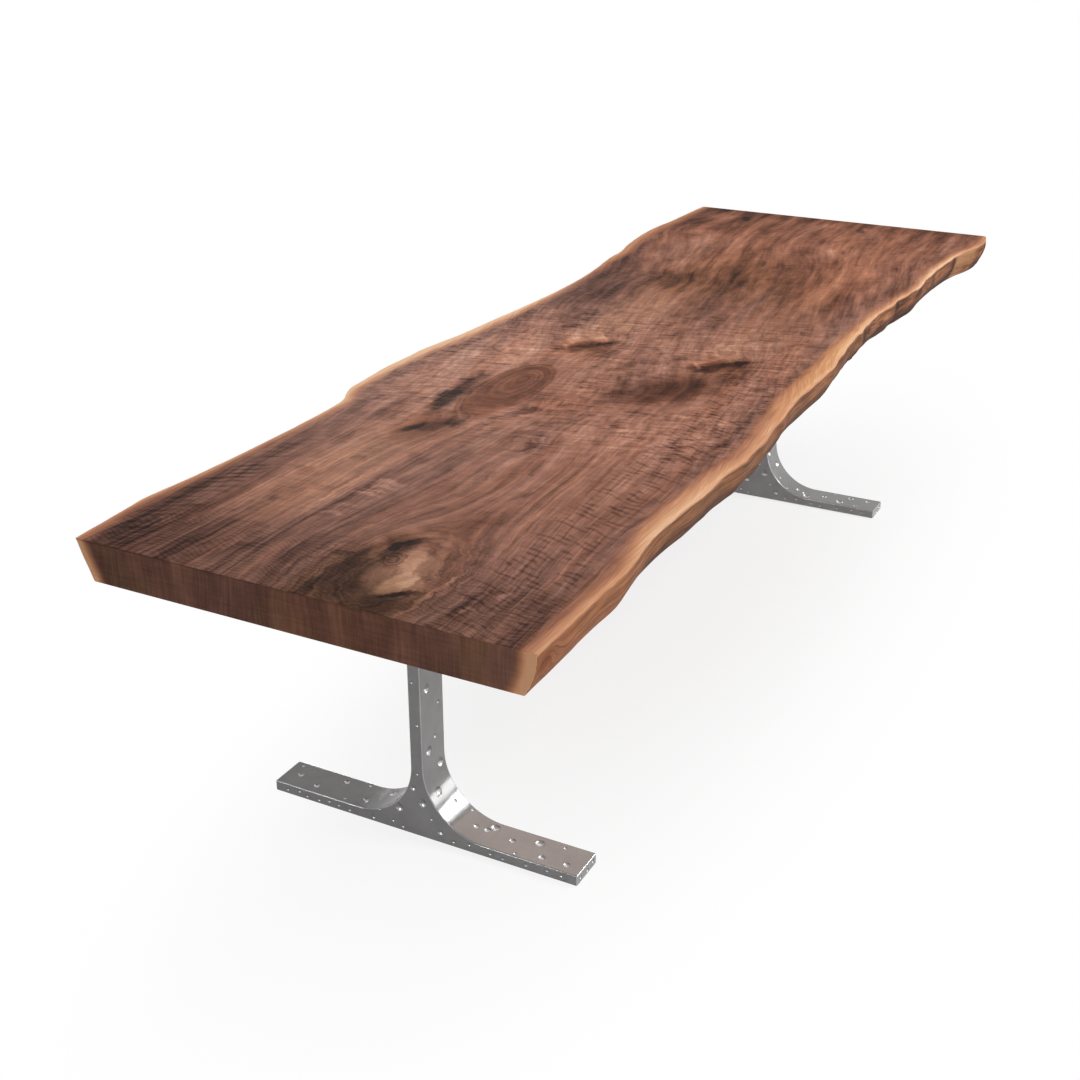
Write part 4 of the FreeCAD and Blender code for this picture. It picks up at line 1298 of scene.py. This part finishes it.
    def surface(self) -> tuple[np.ndarray, np.ndarray, np.ndarray]:
        """Carries the profile along the board and closes both ends.

        The outer half of each end's rounding has the finish of the end grain.

        Returns:
            The vertices in metres, the quads and each quad's zone.
        """
        half = self.box[1].x
        lead = self.end_ease * (1 - np.cos(np.radians([0.0, *EASE_TURNS, 90.0])))
        inner = np.linspace(-half + self.end_ease, half - self.end_ease, self.stations)[1:-1]
        x = np.concatenate([-half + lead, inner, (half - lead)[::-1]])
        gap = np.clip(self.end_ease - (half - np.abs(x)), 0.0, None)
        inset = self.end_ease - np.sqrt(np.maximum(self.end_ease**2 - gap**2, 0.0))
        y, z = self.ring(x, inset)
        rows, columns = y.shape
        points = np.stack([np.repeat(x[:, None], columns, 1), y, z], 2).reshape(-1, 3)
        i, j = np.meshgrid(np.arange(rows - 1), np.arange(columns), indexing="ij")
        k = (j + 1) % columns
        quads = np.stack([i * columns + j, i * columns + k, (i + 1) * columns + k, (i + 1) * columns + j], 2)
        zone_of = np.full(columns, Zone.EDGE.value)
        zone_of[: self.across - 1] = Zone.FACE.value
        zone_of[self.across + self.flank: 2 * self.across + self.flank - 1] = Zone.FACE.value
        zones = np.repeat(zone_of[None, :], rows - 1, 0)
        zones[:2] = zones[-2:] = Zone.END.value
        zones = zones.reshape(-1)
        quads = quads.reshape(-1, 4)
        for row, outward in ((0, True), (rows - 1, False)):
            points, cap = self.close_end(points, np.arange(columns) + row * columns)
            quads = np.vstack([quads, cap if outward else cap[:, ::-1]])
            zones = np.concatenate([zones, np.full(len(cap), Zone.END.value)])
        return points, quads, zones

    def close_end(self, points: np.ndarray, rim: np.ndarray) -> tuple[np.ndarray, np.ndarray]:
        """Closes one end of the board with a net blended from its rim.

        The net is the usual blend of four border lines: what runs between top and bottom, plus what runs
        between left and right, less what both have in common at the four corners.

        Args:
            points: the vertices so far.
            rim: the numbers of the vertices round that end.

        Returns:
            The vertices with the net's own ones added, and the net's quads.
        """
        across, flank = self.across, self.flank
        net = np.full((flank + 2, across), -1)
        net[0], net[-1] = rim[:across], rim[across + flank: 2 * across + flank][::-1]
        net[1:-1, -1] = rim[across: across + flank]
        net[1:-1, 0] = rim[2 * across + flank:][::-1]
        fresh = net < 0
        s = np.linspace(0, 1, across)[None, :, None]
        side_z = points[net[:, -1], 2]
        t = ((side_z[0] - side_z) / (side_z[0] - side_z[-1]))[:, None, None]
        top, bottom = points[net[0]][None], points[net[-1]][None]
        left, right = points[net[:, 0]][:, None], points[net[:, -1]][:, None]
        blend = ((1 - t) * top + t * bottom + (1 - s) * left + s * right
                 - (1 - t) * (1 - s) * top[:, :1] - (1 - t) * s * top[:, -1:]
                 - t * (1 - s) * bottom[:, :1] - t * s * bottom[:, -1:])
        net[fresh] = np.arange(fresh.sum()) + len(points)
        quads = np.stack([net[:-1, :-1], net[1:, :-1], net[1:, 1:], net[:-1, 1:]], 2).reshape(-1, 4)
        return np.vstack([points, blend[fresh]]), quads

    @staticmethod
    def curl_at(x: np.ndarray, y: np.ndarray, reach: np.ndarray) -> np.ndarray:
        """Gives how curly the grain is, above zero along the right edge and below zero along the left.

        Args:
            x: the place along the board.
            y: the place across it.
            reach: how far in from the nearer edge it is.

        Returns:
            The curl.
        """
        rows = bell(y, -330.0, 17.0) + bell(y, -388.0, 20.0)
        rows = np.where(x < -1180.0, np.maximum(rows, 0.75) * (1.0 - 0.4 * fall(x, -1330.0, -1220.0)), rows)
        curl = fall(y, -312.0, -285.0) * fall(x, -420.0, -370.0) * step(reach, 34.0, 56.0) * rows
        curl += 0.35 * fall(y, -330.0, -250.0) * step(reach, 30.0, 60.0) * fall(x, -360.0, 200.0)
        curl += 0.7 * bell(y, -335.0, 24.0) * fall(x, -200.0, -110.0) * step(x, -430.0, -380.0)
        lively = step(y, 278.0, 298.0) * fall(x, -960.0, -880.0) * step(reach, 20.0, 40.0)
        curl -= lively * (1.0 - 0.55 * fall(x, -1360.0, -1240.0))
        curl -= 0.35 * step(y, 240.0, 320.0) * fall(x, -500.0, 100.0) * step(reach, 30.0, 60.0)
        return curl

    def write_figure(self, mesh: bpy.types.Mesh) -> None:
        """Stores what the finishes read at each vertex.

        reach is the distance in from the nearer live edge at that height. tone, warmth and moss are the
        sums of the soft patches, and on the waney faces and the ends their own tone and warmth. figure,
        calm, still, weave and curl say how lively, how broad, how plain, how woven and how curly the grain
        is, and climb how far its lines have crossed the board by then. sap_width, sap_light, golden and rim
        describe the pale band and its edge; and hollow is painted shade on the waney faces, which grows
        towards the underside and where a face lies below its crest.

        Args:
            mesh: the slab's mesh, with its material slots chosen.
        """
        x, y, z = read_vectors(mesh.vertices, "co").T / MM
        y = y - FIGURE_Y
        v = np.clip((self.box[1].z - z) / (self.box[1].z - self.box[0].z), 0.0, 1.0)
        right, left = self.edge_at(x, v, True), self.edge_at(x, v, False)
        on_right = (y - right) < (left - y)
        reach = np.maximum(np.where(on_right, y - right, left - y), 0.0)
        tone, warmth = np.full(len(x), self.base_tone), np.full(len(x), self.base_warmth)
        moss = np.zeros(len(x))
        for patch in PATCHES:
            strength = patch_strength(x, y, patch)
            tone += strength * patch.tone
            warmth += strength * patch.warmth
            moss += strength * patch.moss
        fringe = bell(reach, 52.0, 13.0)
        tone -= fringe * 0.09
        warmth -= fringe * 0.25
        still = np.max([patch.tone * patch_strength(x, y, patch) for patch in STILL_SPOTS], axis=0)
        figure = (0.32 + 1.0 * step(x, -840.0, -580.0) * fall(x, -60.0, 480.0)) * (1.0 - still)
        golden = step(x, -480.0, -150.0) * fall(x, 240.0, 560.0) * on_right
        weave = fall(x, -1340.0, -1180.0) * (1.0 - 0.8 * bell(y, -170.0, 60.0))
        grid = np.arange(GRAIN_SLOPE[0][0], GRAIN_SLOPE[-1][0] + 1.0, self.climb_pace)
        climb = np.interp(x, grid, np.cumsum(along_board(grid, GRAIN_SLOPE)[0]) * self.climb_pace)
        sap_width, sap_light = np.where(on_right, along_board(x, RIGHT_SAP), along_board(x, LEFT_SAP))
        edge_tone, edge_warmth, rim, ridge = np.where(on_right, along_board(x, RIGHT_FACE),
                                                      along_board(x, LEFT_FACE))
        top = np.zeros_like(v)
        outline = np.where(on_right, self.edge_at(x, top, True), self.edge_at(x, top, False))
        proud = np.where(on_right, outline - y, y - outline)
        under = np.where(on_right, self.undercut_at(v, True), self.undercut_at(v, False))
        crest = np.clip((proud + under) / self.hollow_depth, 0.0, 1.0)
        # painted shade for the waney faces: darker towards the underside and where a face lies below its
        # crest
        hollow = step(v, 0.30, 0.85) * 0.5 - crest * 0.5 + 0.16
        waney = self.touches(mesh, Zone.EDGE) & (v > 0.001) & (v < 0.999) & (reach < 3.0)
        ends = self.touches(mesh, Zone.END)
        tone = np.where(waney, edge_tone, tone)
        warmth = np.where(waney, edge_warmth, warmth)
        end_tone = self.near_end_tone + self.near_end_rise * fall(y, -430.0, -100.0)
        tone = np.where(ends & (x < 0), end_tone, tone)
        tone = np.where(ends & (x > 0), tone * 0.85 - 0.05, tone)
        for name, values in {
            "reach": reach, "tone": tone, "warmth": warmth, "curl": self.curl_at(x, y, reach),
            "moss": np.clip(moss, 0.0, 1.0), "figure": figure, "weave": weave, "calm": step(x, -100.0, 650.0),
            "still": still, "golden": golden, "climb": climb, "sap_width": sap_width, "sap_light": sap_light,
            "rim": rim, "hollow": hollow * step(ridge, 0.6, 3.5),
        }.items():
            write_attribute(mesh, name, values)

    @staticmethod
    def touches(mesh: bpy.types.Mesh, zone: Zone) -> np.ndarray:
        """Tells for each vertex whether a face of one zone uses it.

        Args:
            mesh: the slab's mesh.
            zone: the zone.

        Returns:
            True or false for each vertex.
        """
        zones, corners = np.empty(len(mesh.polygons), np.int32), np.empty(len(mesh.loops), np.int32)
        mesh.polygons.foreach_get("material_index", zones)
        mesh.loops.foreach_get("vertex_index", corners)
        found = np.zeros(len(mesh.vertices), bool)
        found[corners[np.repeat(zones == zone.value, 4)]] = True
        return found

    def build(self) -> bpy.types.Object:
        """Builds and dresses the slab, and lets it stand for the frame's plain one.

        Returns:
            The piece.
        """
        points, quads, zones = self.surface()
        points[:, 1] += FIGURE_Y
        points = np.clip(points, np.array(self.box[0]), np.array(self.box[1])) * MM
        piece = mesh_piece("live_edge_slab", points, quads, zones)
        self.write_figure(piece.data)
        weigh_normals(piece, keep_sharp=False)
        for finish in (OiledWalnutFace(), LiveEdge(), EndGrain()):
            piece.data.materials.append(finish.build())
        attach(piece, self.body)
        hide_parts(self.node)
        return piece


# ---------------------------------------------------------------------------------- the pedestals


class Size(Enum):
    """The three sizes of casting pit: radius and depth in millimetres."""

    SMALL = (4.2, 2.1)
    MIDDLE = (7.2, 3.4)
    LARGE = (10.2, 4.6)


@dataclass(frozen=True)
class Pit:
    """One round pit: where it lies, which way the metal's surface looks there, and its size."""

    centre: tuple[float, float, float]
    outward: tuple[float, float, float]
    size: Size


S, M, L = Size.SMALL, Size.MIDDLE, Size.LARGE

# Pits on the two broad cheeks: (across, up, size), in millimetres from the middle and from the floor.
CHEEK_PITS = (
    (-10, 84, L), (46, 57, L), (11, 114, M), (-50, 27, M), (94, 38, S), (39, 13, S), (110, 12, S),
    (-4, 263, S), (5, 357, S), (-116, 19, S), (-164, 14, S), (-192, 12, S), (-244, 14, S), (-290, 17, S),
    (-321, 15, S), (326, 12, S), (295, 17, S), (276, 11, S), (246, 12, S), (220, 16, S), (196, 14, S),
    (169, 11, S), (-4, 455, S), (4, 560, S), (-6, 610, S), (62, 20, S), (-80, 14, S), (-30, 52, S),
    (0, 150, S),
)
# Pits on the top of each foot and up the sweep: (from the tip, off the middle, size).
RIGHT_PITS = (
    (34, -19, M), (88, -20, M), (112, 19, L), (140, -33, S), (165, 1, M), (215, 23, L), (226, 8, M),
    (249, 2, M), (277, 33, S), (315, 16, S), (354, -11, L), (403, 23, L), (451, -17, L), (472, 8, S),
    (543, 23, S), (593, -18, L), (640, 12, M), (702, -24, S), (745, 20, L), (798, -6, M), (850, 26, S),
    (60, 28, S),
)
LEFT_PITS = (
    (36, 0, M), (90, -19, M), (139, 22, M), (191, 33, S), (211, -14, M), (262, 18, L), (318, -20, M),
    (352, 24, S), (398, -8, L), (446, 22, M), (492, -26, S), (548, 6, L), (604, -18, M), (655, 24, S),
    (712, -4, L), (766, 22, M), (822, -20, S), (868, 8, M), (20, 30, S), (168, -30, S),
)
TIP_PITS = ((-26, 14, S), (4, 11, S), (28, 16, S))


@dataclass
class PedestalCasting:
    """One cast pedestal: the frame's own shape, merged and pitted all over by a rough mould.

    Lengths are millimetres, except weld and sliver, the metres under which corners and edges are merged.
    The foot's tip face ends at tip_height, and what is higher counts as far_off from it. turned mirrors
    the pits along the table, so that the two castings differ.
    """

    node: str
    turned: bool = False
    body: str = "root"
    half_foot: float = 356.0
    half_post: float = 14.0
    sweep: float = 138.0
    foot_top: float = 26.0
    tip_height: float = 60.0
    far_off: float = 1000.0
    head_sweep: float = 60.0
    head_under: float = 661.0
    offset: float = 25.0
    around: int = 20
    rings: int = 6
    sharp_degrees: float = 28.0
    weld: float = 2e-6
    sliver: float = 1e-7

    def foot_point(self, side: float, run: float, off: float) -> tuple[np.ndarray, np.ndarray]:
        """Finds a place on the upper skin of a foot, which is flat, then a quarter circle, then upright.

        Args:
            side: -1 for the right foot, 1 for the left one.
            run: the way from the foot's tip.
            off: the way off the pedestal's middle, along the table.

        Returns:
            The place and the outward direction there, about the pedestal's own middle.
        """
        flat = self.half_foot - self.half_post - self.sweep
        arc = self.sweep * math.pi / 2
        if run < flat:
            place, outward = (self.half_foot - run, self.foot_top), (0.0, 1.0)
        elif run < flat + arc:
            turn = (run - flat) / self.sweep
            middle = (self.half_post + self.sweep, self.foot_top + self.sweep)
            outward = (math.sin(turn), math.cos(turn))
            place = (middle[0] - self.sweep * outward[0], middle[1] - self.sweep * outward[1])
        else:
            place, outward = (self.half_post, self.foot_top + self.sweep + run - flat - arc), (1.0, 0.0)
        return np.array([off, side * place[0], place[1]]), np.array([0.0, side * outward[0], outward[1]])

    def pits(self, half_depth: float) -> list[Pit]:
        """Lists every pit of the casting about its own middle.

        Args:
            half_depth: half the casting's depth along the table.

        Returns:
            The pits.
        """
        mirror = -1.0 if self.turned else 1.0
        found = []
        for cheek in (-1.0, 1.0):
            for off, up, size in CHEEK_PITS:
                found.append(Pit((cheek * half_depth, off, up), (cheek, 0.0, 0.0), size))
        for side, rows in ((-1.0, RIGHT_PITS), (1.0, LEFT_PITS)):
            for run, off, size in rows:
                place, outward = self.foot_point(side, run, off * mirror)
                found.append(Pit(tuple(place), tuple(outward), size))
            for off, up, size in TIP_PITS:
                found.append(Pit((off * mirror, side * self.half_foot, up), (0.0, side, 0.0), size))
        return found

    def cutter(self, pits: Sequence[Pit], middle: np.ndarray) -> bpy.types.Object:
        """Builds one flattened ball for each pit, all in one mesh.

        A pit of radius r and depth d is cut by a ball of radius (r*r + d*d) / 2d whose lowest point lies d
        under the skin.

        Args:
            pits: the pits.
            middle: the pedestal's middle, in millimetres.

        Returns:
            The cutting object.
        """
        polar = np.linspace(0.0, math.pi, self.rings * 2 + 1)[1:-1]
        spin = np.arange(self.around) * 2 * math.pi / self.around
        unit = np.stack([np.outer(np.sin(polar), np.cos(spin)), np.outer(np.sin(polar), np.sin(spin)),
                         np.outer(np.cos(polar), np.ones_like(spin))], 2).reshape(-1, 3)
        unit = np.vstack([unit, [[0, 0, 1.0]], [[0, 0, -1.0]]])
        rows, n = len(polar), self.around
        i, j = np.meshgrid(np.arange(rows - 1), np.arange(n), indexing="ij")
        k = (j + 1) % n
        quads = np.stack([i * n + j, (i + 1) * n + j, (i + 1) * n + k, i * n + k], 2).reshape(-1, 4).tolist()
        ring = np.arange(n)
        last = (rows - 1) * n
        fans = [[rows * n, a, b] for a, b in zip(ring, np.roll(ring, -1))]
        fans += [[rows * n + 1, last + b, last + a] for a, b in zip(ring, np.roll(ring, -1))]
        points, faces = [], []
        for pit in pits:
            radius, depth = pit.size.value
            ball = (radius**2 + depth**2) / (2 * depth)
            outward = np.array(pit.outward)
            centre = np.array(pit.centre) + outward * (ball - depth) + middle
            frame_of = np.array(Vector(outward).to_track_quat("Z", "Y").to_matrix())
            start = len(points) * len(unit)
            points.append((unit * ball) @ frame_of.T + centre)
            faces += [[start + corner for corner in face] for face in quads + fans]
        mesh = bpy.data.meshes.new("pit_cutter")
        mesh.from_pydata((np.vstack(points) * MM).tolist(), [], faces)
        mesh.update()
        cutter = bpy.data.objects.new("pit_cutter", mesh)
        bpy.context.scene.collection.objects.link(cutter)
        return cutter

    def layers(self, points: np.ndarray, half_depth: float) -> np.ndarray:
        """Gives how far points lie from the cheeks, from the foot, sweeps and post, and from the tips.

        Args:
            points: the points about the pedestal's own middle, in millimetres.
            half_depth: half the casting's depth along the table.

        Returns:
            Three rows of distances.
        """
        x, y, z = points.T
        x, y = np.abs(x), np.abs(y)
        ring, head = self.half_post + self.sweep, self.half_post + self.head_sweep
        low_end, high_start = self.foot_top + self.sweep, self.head_under - self.head_sweep
        low = np.where(y > ring, self.foot_top - z, np.hypot(ring - y, low_end - z) - self.sweep)
        high = np.where(y > head, z - self.head_under, np.hypot(head - y, z - high_start) - self.head_sweep)
        side = np.where(z < low_end, low, np.where(z > high_start, high, self.half_post - y))
        tip = self.half_foot - y + self.far_off * (z > self.tip_height)
        return np.abs(np.stack([half_depth - x, side, tip]))

    def write_wear_and_painted_light(self, mesh: bpy.types.Mesh, middle: np.ndarray, half_depth: float) -> None:
        """Stores how polished the metal is, and where it carries painted highlight and painted shade.

        At each vertex, worn is full on the eased arrises, where two of the casting's faces are both near.
        On each face, the pit highlight is painted highlight, full where a pit's wall looks more upward than
        the metal round it, and level is painted shade, full where the face looks straight up.

        Args:
            mesh: the pitted casting's mesh.
            middle: the pedestal's middle, in millimetres.
            half_depth: half the casting's depth along the table.
        """
        nearest = np.sort(self.layers(read_vectors(mesh.vertices, "co") / MM - middle, half_depth), 0)
        write_attribute(mesh, "worn", fall(nearest[1], 1.2, 2.3))
        centre = read_vectors(mesh.polygons, "center") / MM - middle
        up = read_vectors(mesh.polygons, "normal")[:, 2]
        layers = self.layers(centre, half_depth)
        nearest = np.sort(layers, 0)
        on_foot = layers.argmin(0) == 1
        lean = np.clip(0.5 - (centre[:, 2] - self.foot_top) / self.sweep, 0.0, 1.0) * on_foot
        # painted highlight on the pit walls that look upward
        painted_pit_highlight = step(nearest[0], 0.3, 0.6) * step(nearest[1], 2.4, 3.4)
        write_attribute(mesh, "painted_pit_highlight", painted_pit_highlight * step(up - lean, 0.15, 0.40), "FACE")
        # painted shade on the faces that look straight up
        write_attribute(mesh, "level", step(up, 0.50, 0.98), "FACE")

    def build(self, finish: bpy.types.Material) -> bpy.types.Object:
        """Builds and dresses the casting, and lets it stand for the frame's plain one.

        Args:
            finish: the satin aluminium.

        Returns:
            The piece.
        """
        low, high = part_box(self.node)
        middle = np.array([(low.x + high.x) / 2 / MM, self.offset, 0.0])
        half_depth = (high.x - low.x) / 2 / MM
        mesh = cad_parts[self.node].data.copy()
        body = bmesh.new()
        body.from_mesh(mesh)
        bmesh.ops.remove_doubles(body, verts=body.verts, dist=self.weld)
        bmesh.ops.dissolve_degenerate(body, edges=body.edges, dist=self.sliver)
        open_edges = sum(1 for edge in body.edges if len(edge.link_faces) != 2)
        body.to_mesh(mesh)
        body.free()
        mesh.materials.clear()
        piece = bpy.data.objects.new(self.node.replace("_leg", "_pedestal_casting"), mesh)
        bpy.context.scene.collection.objects.link(piece)
        cutter = self.cutter(self.pits(half_depth), middle)
        carve = piece.modifiers.new("carve_pits", "BOOLEAN")
        carve.operation = "DIFFERENCE"
        carve.solver = "EXACT"
        carve.object = cutter
        apply_modifiers(piece)
        bpy.data.objects.remove(cutter)
        LOG.info("%s: %d open edges before carving", piece.name, open_edges)
        piece.data.polygons.foreach_set("use_smooth", np.ones(len(piece.data.polygons), bool))
        piece.data.set_sharp_from_angle(angle=math.radians(self.sharp_degrees))
        weigh_normals(piece, keep_sharp=True)
        self.write_wear_and_painted_light(piece.data, middle, half_depth)
        piece.data.materials.clear()
        piece.data.materials.append(finish)
        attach(piece, self.body)
        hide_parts(self.node)
        return piece


# ---------------------------------------------------------------------------------- the fittings


@dataclass
class Fittings:
    """The frame's own small parts, whose shapes are right and which only need their finishes."""

    rules: tuple[tuple[str, Metal], ...] = (
        ("mounting_plate", Metal.POWDER_COAT), ("plate_screws", Metal.ZINC), ("plate_washers", Metal.ZINC),
        ("slab_inserts", Metal.BRASS), ("leg_bolts", Metal.ZINC), ("leg_washers", Metal.ZINC),
        ("leveller_bushes", Metal.ZINC), ("leveller_stud", Metal.ZINC), ("leveller_pad", Metal.NYLON),
    )

    def build(self) -> int:
        """Gives every carried-over part its finish.

        Returns:
            How many parts were dressed.
        """
        finishes = {finish.kind: finish.build() for finish in FITTING_FINISHES}
        dressed = 0
        for name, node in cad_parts.items():
            for ending, kind in self.rules:
                if name.endswith(ending):
                    node.data.materials.clear()
                    node.data.materials.append(finishes[kind])
                    dressed += 1
        return dressed


# ---------------------------------------------------------------------------------- the studio


@dataclass(frozen=True)
class Lamp:
    """A square soft lamp: where it hangs, what it looks at, its side in metres and its watts.

    One for mirrors only shows in reflections and lights nothing matt.
    """

    name: str
    eye: tuple[float, float, float]
    target: tuple[float, float, float]
    side: float
    power: float
    mirror_only: bool = True
    colour: Colour = (1.0, 1.0, 1.0)


LAMPS = (
    Lamp("key_lamp", (1.2, -4.4, 4.6), (0.0, 0.0, 0.4), 2.6, 270.0, mirror_only=False),
    Lamp("overhead_lamp", (-0.4, 0.2, 4.4), (-0.4, 0.0, 0.4), 1.7, 29.0, mirror_only=False),
    Lamp("sweep_panel", (3.45, -3.15, 2.66), (-1.0, -0.08, 0.08), 1.6, 160.0),
    Lamp("low_panel", (4.0, 3.6, 0.9), (-1.0, 0.15, 0.05), 1.6, 100.0),
    Lamp("front_panel", (-4.4, 1.9, 1.3), (-1.0, 0.0, 0.3), 1.3, 60.0),
    Lamp("under_panel", (-0.3, 0.0, 0.64), (-0.3, 0.0, 0.0), 0.75, 3.7, colour=(1.0, 0.84, 0.76)),
    Lamp("side_panel", (2.0, -2.7, 0.55), (-1.0, 0.0, 0.4), 1.0, 22.0),
)


@dataclass
class Studio:
    """A pale floor that runs out of sight, an even sky, soft lamps and the camera."""

    eye: tuple[float, float, float] = (-3.15492, -1.35813, 1.80309)
    yaw: float = 0.4823
    pitch: float = -0.4266
    lens: float = 50.0
    sensor: float = 36.0
    sight: float = 200.0
    floor_size: float = 70.0
    floor_grey: float = 0.94
    floor_glow: float = 0.70
    shade: Ellipse = Ellipse(0.3, -0.05, 1.6, 0.5)
    shade_reach: tuple[float, float] = (0.1, 1.6)
    sky: float = 0.31
    sky_below: float = 0.50
    sky_top: float = 0.8

    def aim(self, kind: bpy.types.ID, name: str, eye: Sequence[float], heading: Vector) -> bpy.types.Object:
        """Places a camera or a lamp so that it looks along a heading, upright.

        Args:
            kind: the camera's or the lamp's own data.
            name: its name.
            eye: where it stands or hangs.
            heading: which way it looks.

        Returns:
            The object.
        """
        made = bpy.data.objects.new(name, kind)
        bpy.context.scene.collection.objects.link(made)
        made.matrix_world = Matrix.Translation(eye) @ heading.to_track_quat("-Z", "Y").to_matrix().to_4x4()
        return made

    def add_camera(self) -> None:
        """Sets the camera, level, with a plain lens and no shift."""
        camera = bpy.data.cameras.new("camera")
        camera.lens = self.lens
        camera.sensor_width = self.sensor
        camera.clip_end = self.sight
        level = math.cos(self.pitch)
        heading = Vector((math.cos(self.yaw) * level, math.sin(self.yaw) * level, math.sin(self.pitch)))
        bpy.context.scene.camera = self.aim(camera, "camera", self.eye, heading)

    def add_floor(self) -> None:
        """Lays a white floor that shows plain white, but keeps a soft share of the table's shadow.

        The share is greatest under the table and fades outward through a family of ellipses.
        """
        half = self.floor_size / 2
        points = np.array([[-half, -half, 0], [half, -half, 0], [half, half, 0], [-half, half, 0]], float)
        floor = mesh_piece("studio_floor", points, np.array([[0, 1, 2, 3]]))
        material = bpy.data.materials.new("studio_white")
        graph = Graph(material)
        matt = graph.node("BsdfDiffuse")
        matt.inputs["Color"].default_value = (self.floor_grey,) * 3 + (1.0,)
        seen = self.seen(graph)
        squash = graph.node("VectorMath", operation="MULTIPLY_ADD")
        shade = self.shade
        squash.inputs[1].default_value = (1.0 / shade.long, 1.0 / shade.wide, 0.0)
        squash.inputs[2].default_value = (-shade.x / shade.long, -shade.y / shade.wide, 0.0)
        away = graph.node("VectorMath", operation="LENGTH")
        graph.tree.links.new(graph.node("TexCoord").outputs["Object"], squash.inputs[0])
        graph.tree.links.new(squash.outputs[0], away.inputs[0])
        glow = Signal(graph, away.outputs["Value"]).rise(*self.shade_reach, low=self.floor_glow)
        graph.show("OutputMaterial", matt, graph.node("Emission"), seen * glow)
        floor.data.materials.append(material)

    @staticmethod
    def seen(graph: Graph) -> Signal:
        """Tells whether a ray comes from the camera, straight, off a gloss or through a clear thing.

        Args:
            graph: the floor's or the sky's tree.

        Returns:
            1 for such a ray, 0 for any other.
        """
        light = graph.node("LightPath")
        camera, gloss, clear = (Signal(graph, light.outputs[f"Is {kind} Ray"])
                                for kind in ("Camera", "Glossy", "Transmission"))
        return camera.over(gloss).over(clear)

    def add_sky(self) -> None:
        """Lights the room evenly from all round, a little more from above, and shows plain white."""
        world = bpy.data.worlds.new("studio_sky")
        bpy.context.scene.world = world
        graph = Graph(world)
        _, _, height = graph.split(Signal(graph, graph.node("TexCoord").outputs["Generated"]))
        sky, white = graph.node("Background"), graph.node("Background")
        sky.inputs["Strength"].default_value = self.sky
        white.inputs["Color"].default_value = (1.0, 1.0, 1.0, 1.0)
        stops = ((0.0, (self.sky_below,) * 3), (self.sky_top, (1.0,) * 3))
        graph.feed(sky.inputs["Color"], graph.ramp(height, stops))
        graph.show("OutputWorld", sky, white, self.seen(graph))

    def add_lamp(self, lamp: Lamp) -> None:
        """Hangs a lamp, out of the camera's sight.

        Args:
            lamp: the lamp.
        """
        light = bpy.data.lights.new(lamp.name, "AREA")
        light.shape = "SQUARE"
        light.size = lamp.side
        light.energy = lamp.power
        light.color = lamp.colour
        made = self.aim(light, lamp.name, lamp.eye, Vector(lamp.target) - Vector(lamp.eye))
        made.visible_camera = False
        made.visible_diffuse = not lamp.mirror_only

    def build(self) -> None:
        """Sets up the whole studio."""
        self.add_camera()
        self.add_floor()
        self.add_sky()
        for lamp in LAMPS:
            self.add_lamp(lamp)
        bpy.context.scene.view_settings.view_transform = "Standard"


# ---------------------------------------------------------------------------------- the whole table


def main() -> None:
    """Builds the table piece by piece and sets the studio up."""
    logging.basicConfig(level=logging.INFO, format="%(message)s")
    slab = WalnutSlab().build()
    LOG.info("%s: %d faces", slab.name, len(slab.data.polygons))
    casting = CastAluminium().build()
    for pedestal in (PedestalCasting("left_leg"), PedestalCasting("right_leg", turned=True)):
        piece = pedestal.build(casting)
        LOG.info("%s: %d faces", piece.name, len(piece.data.polygons))
    LOG.info("fittings dressed: %d", Fittings().build())
    Studio().build()


if __name__ == "__main__":
    main()
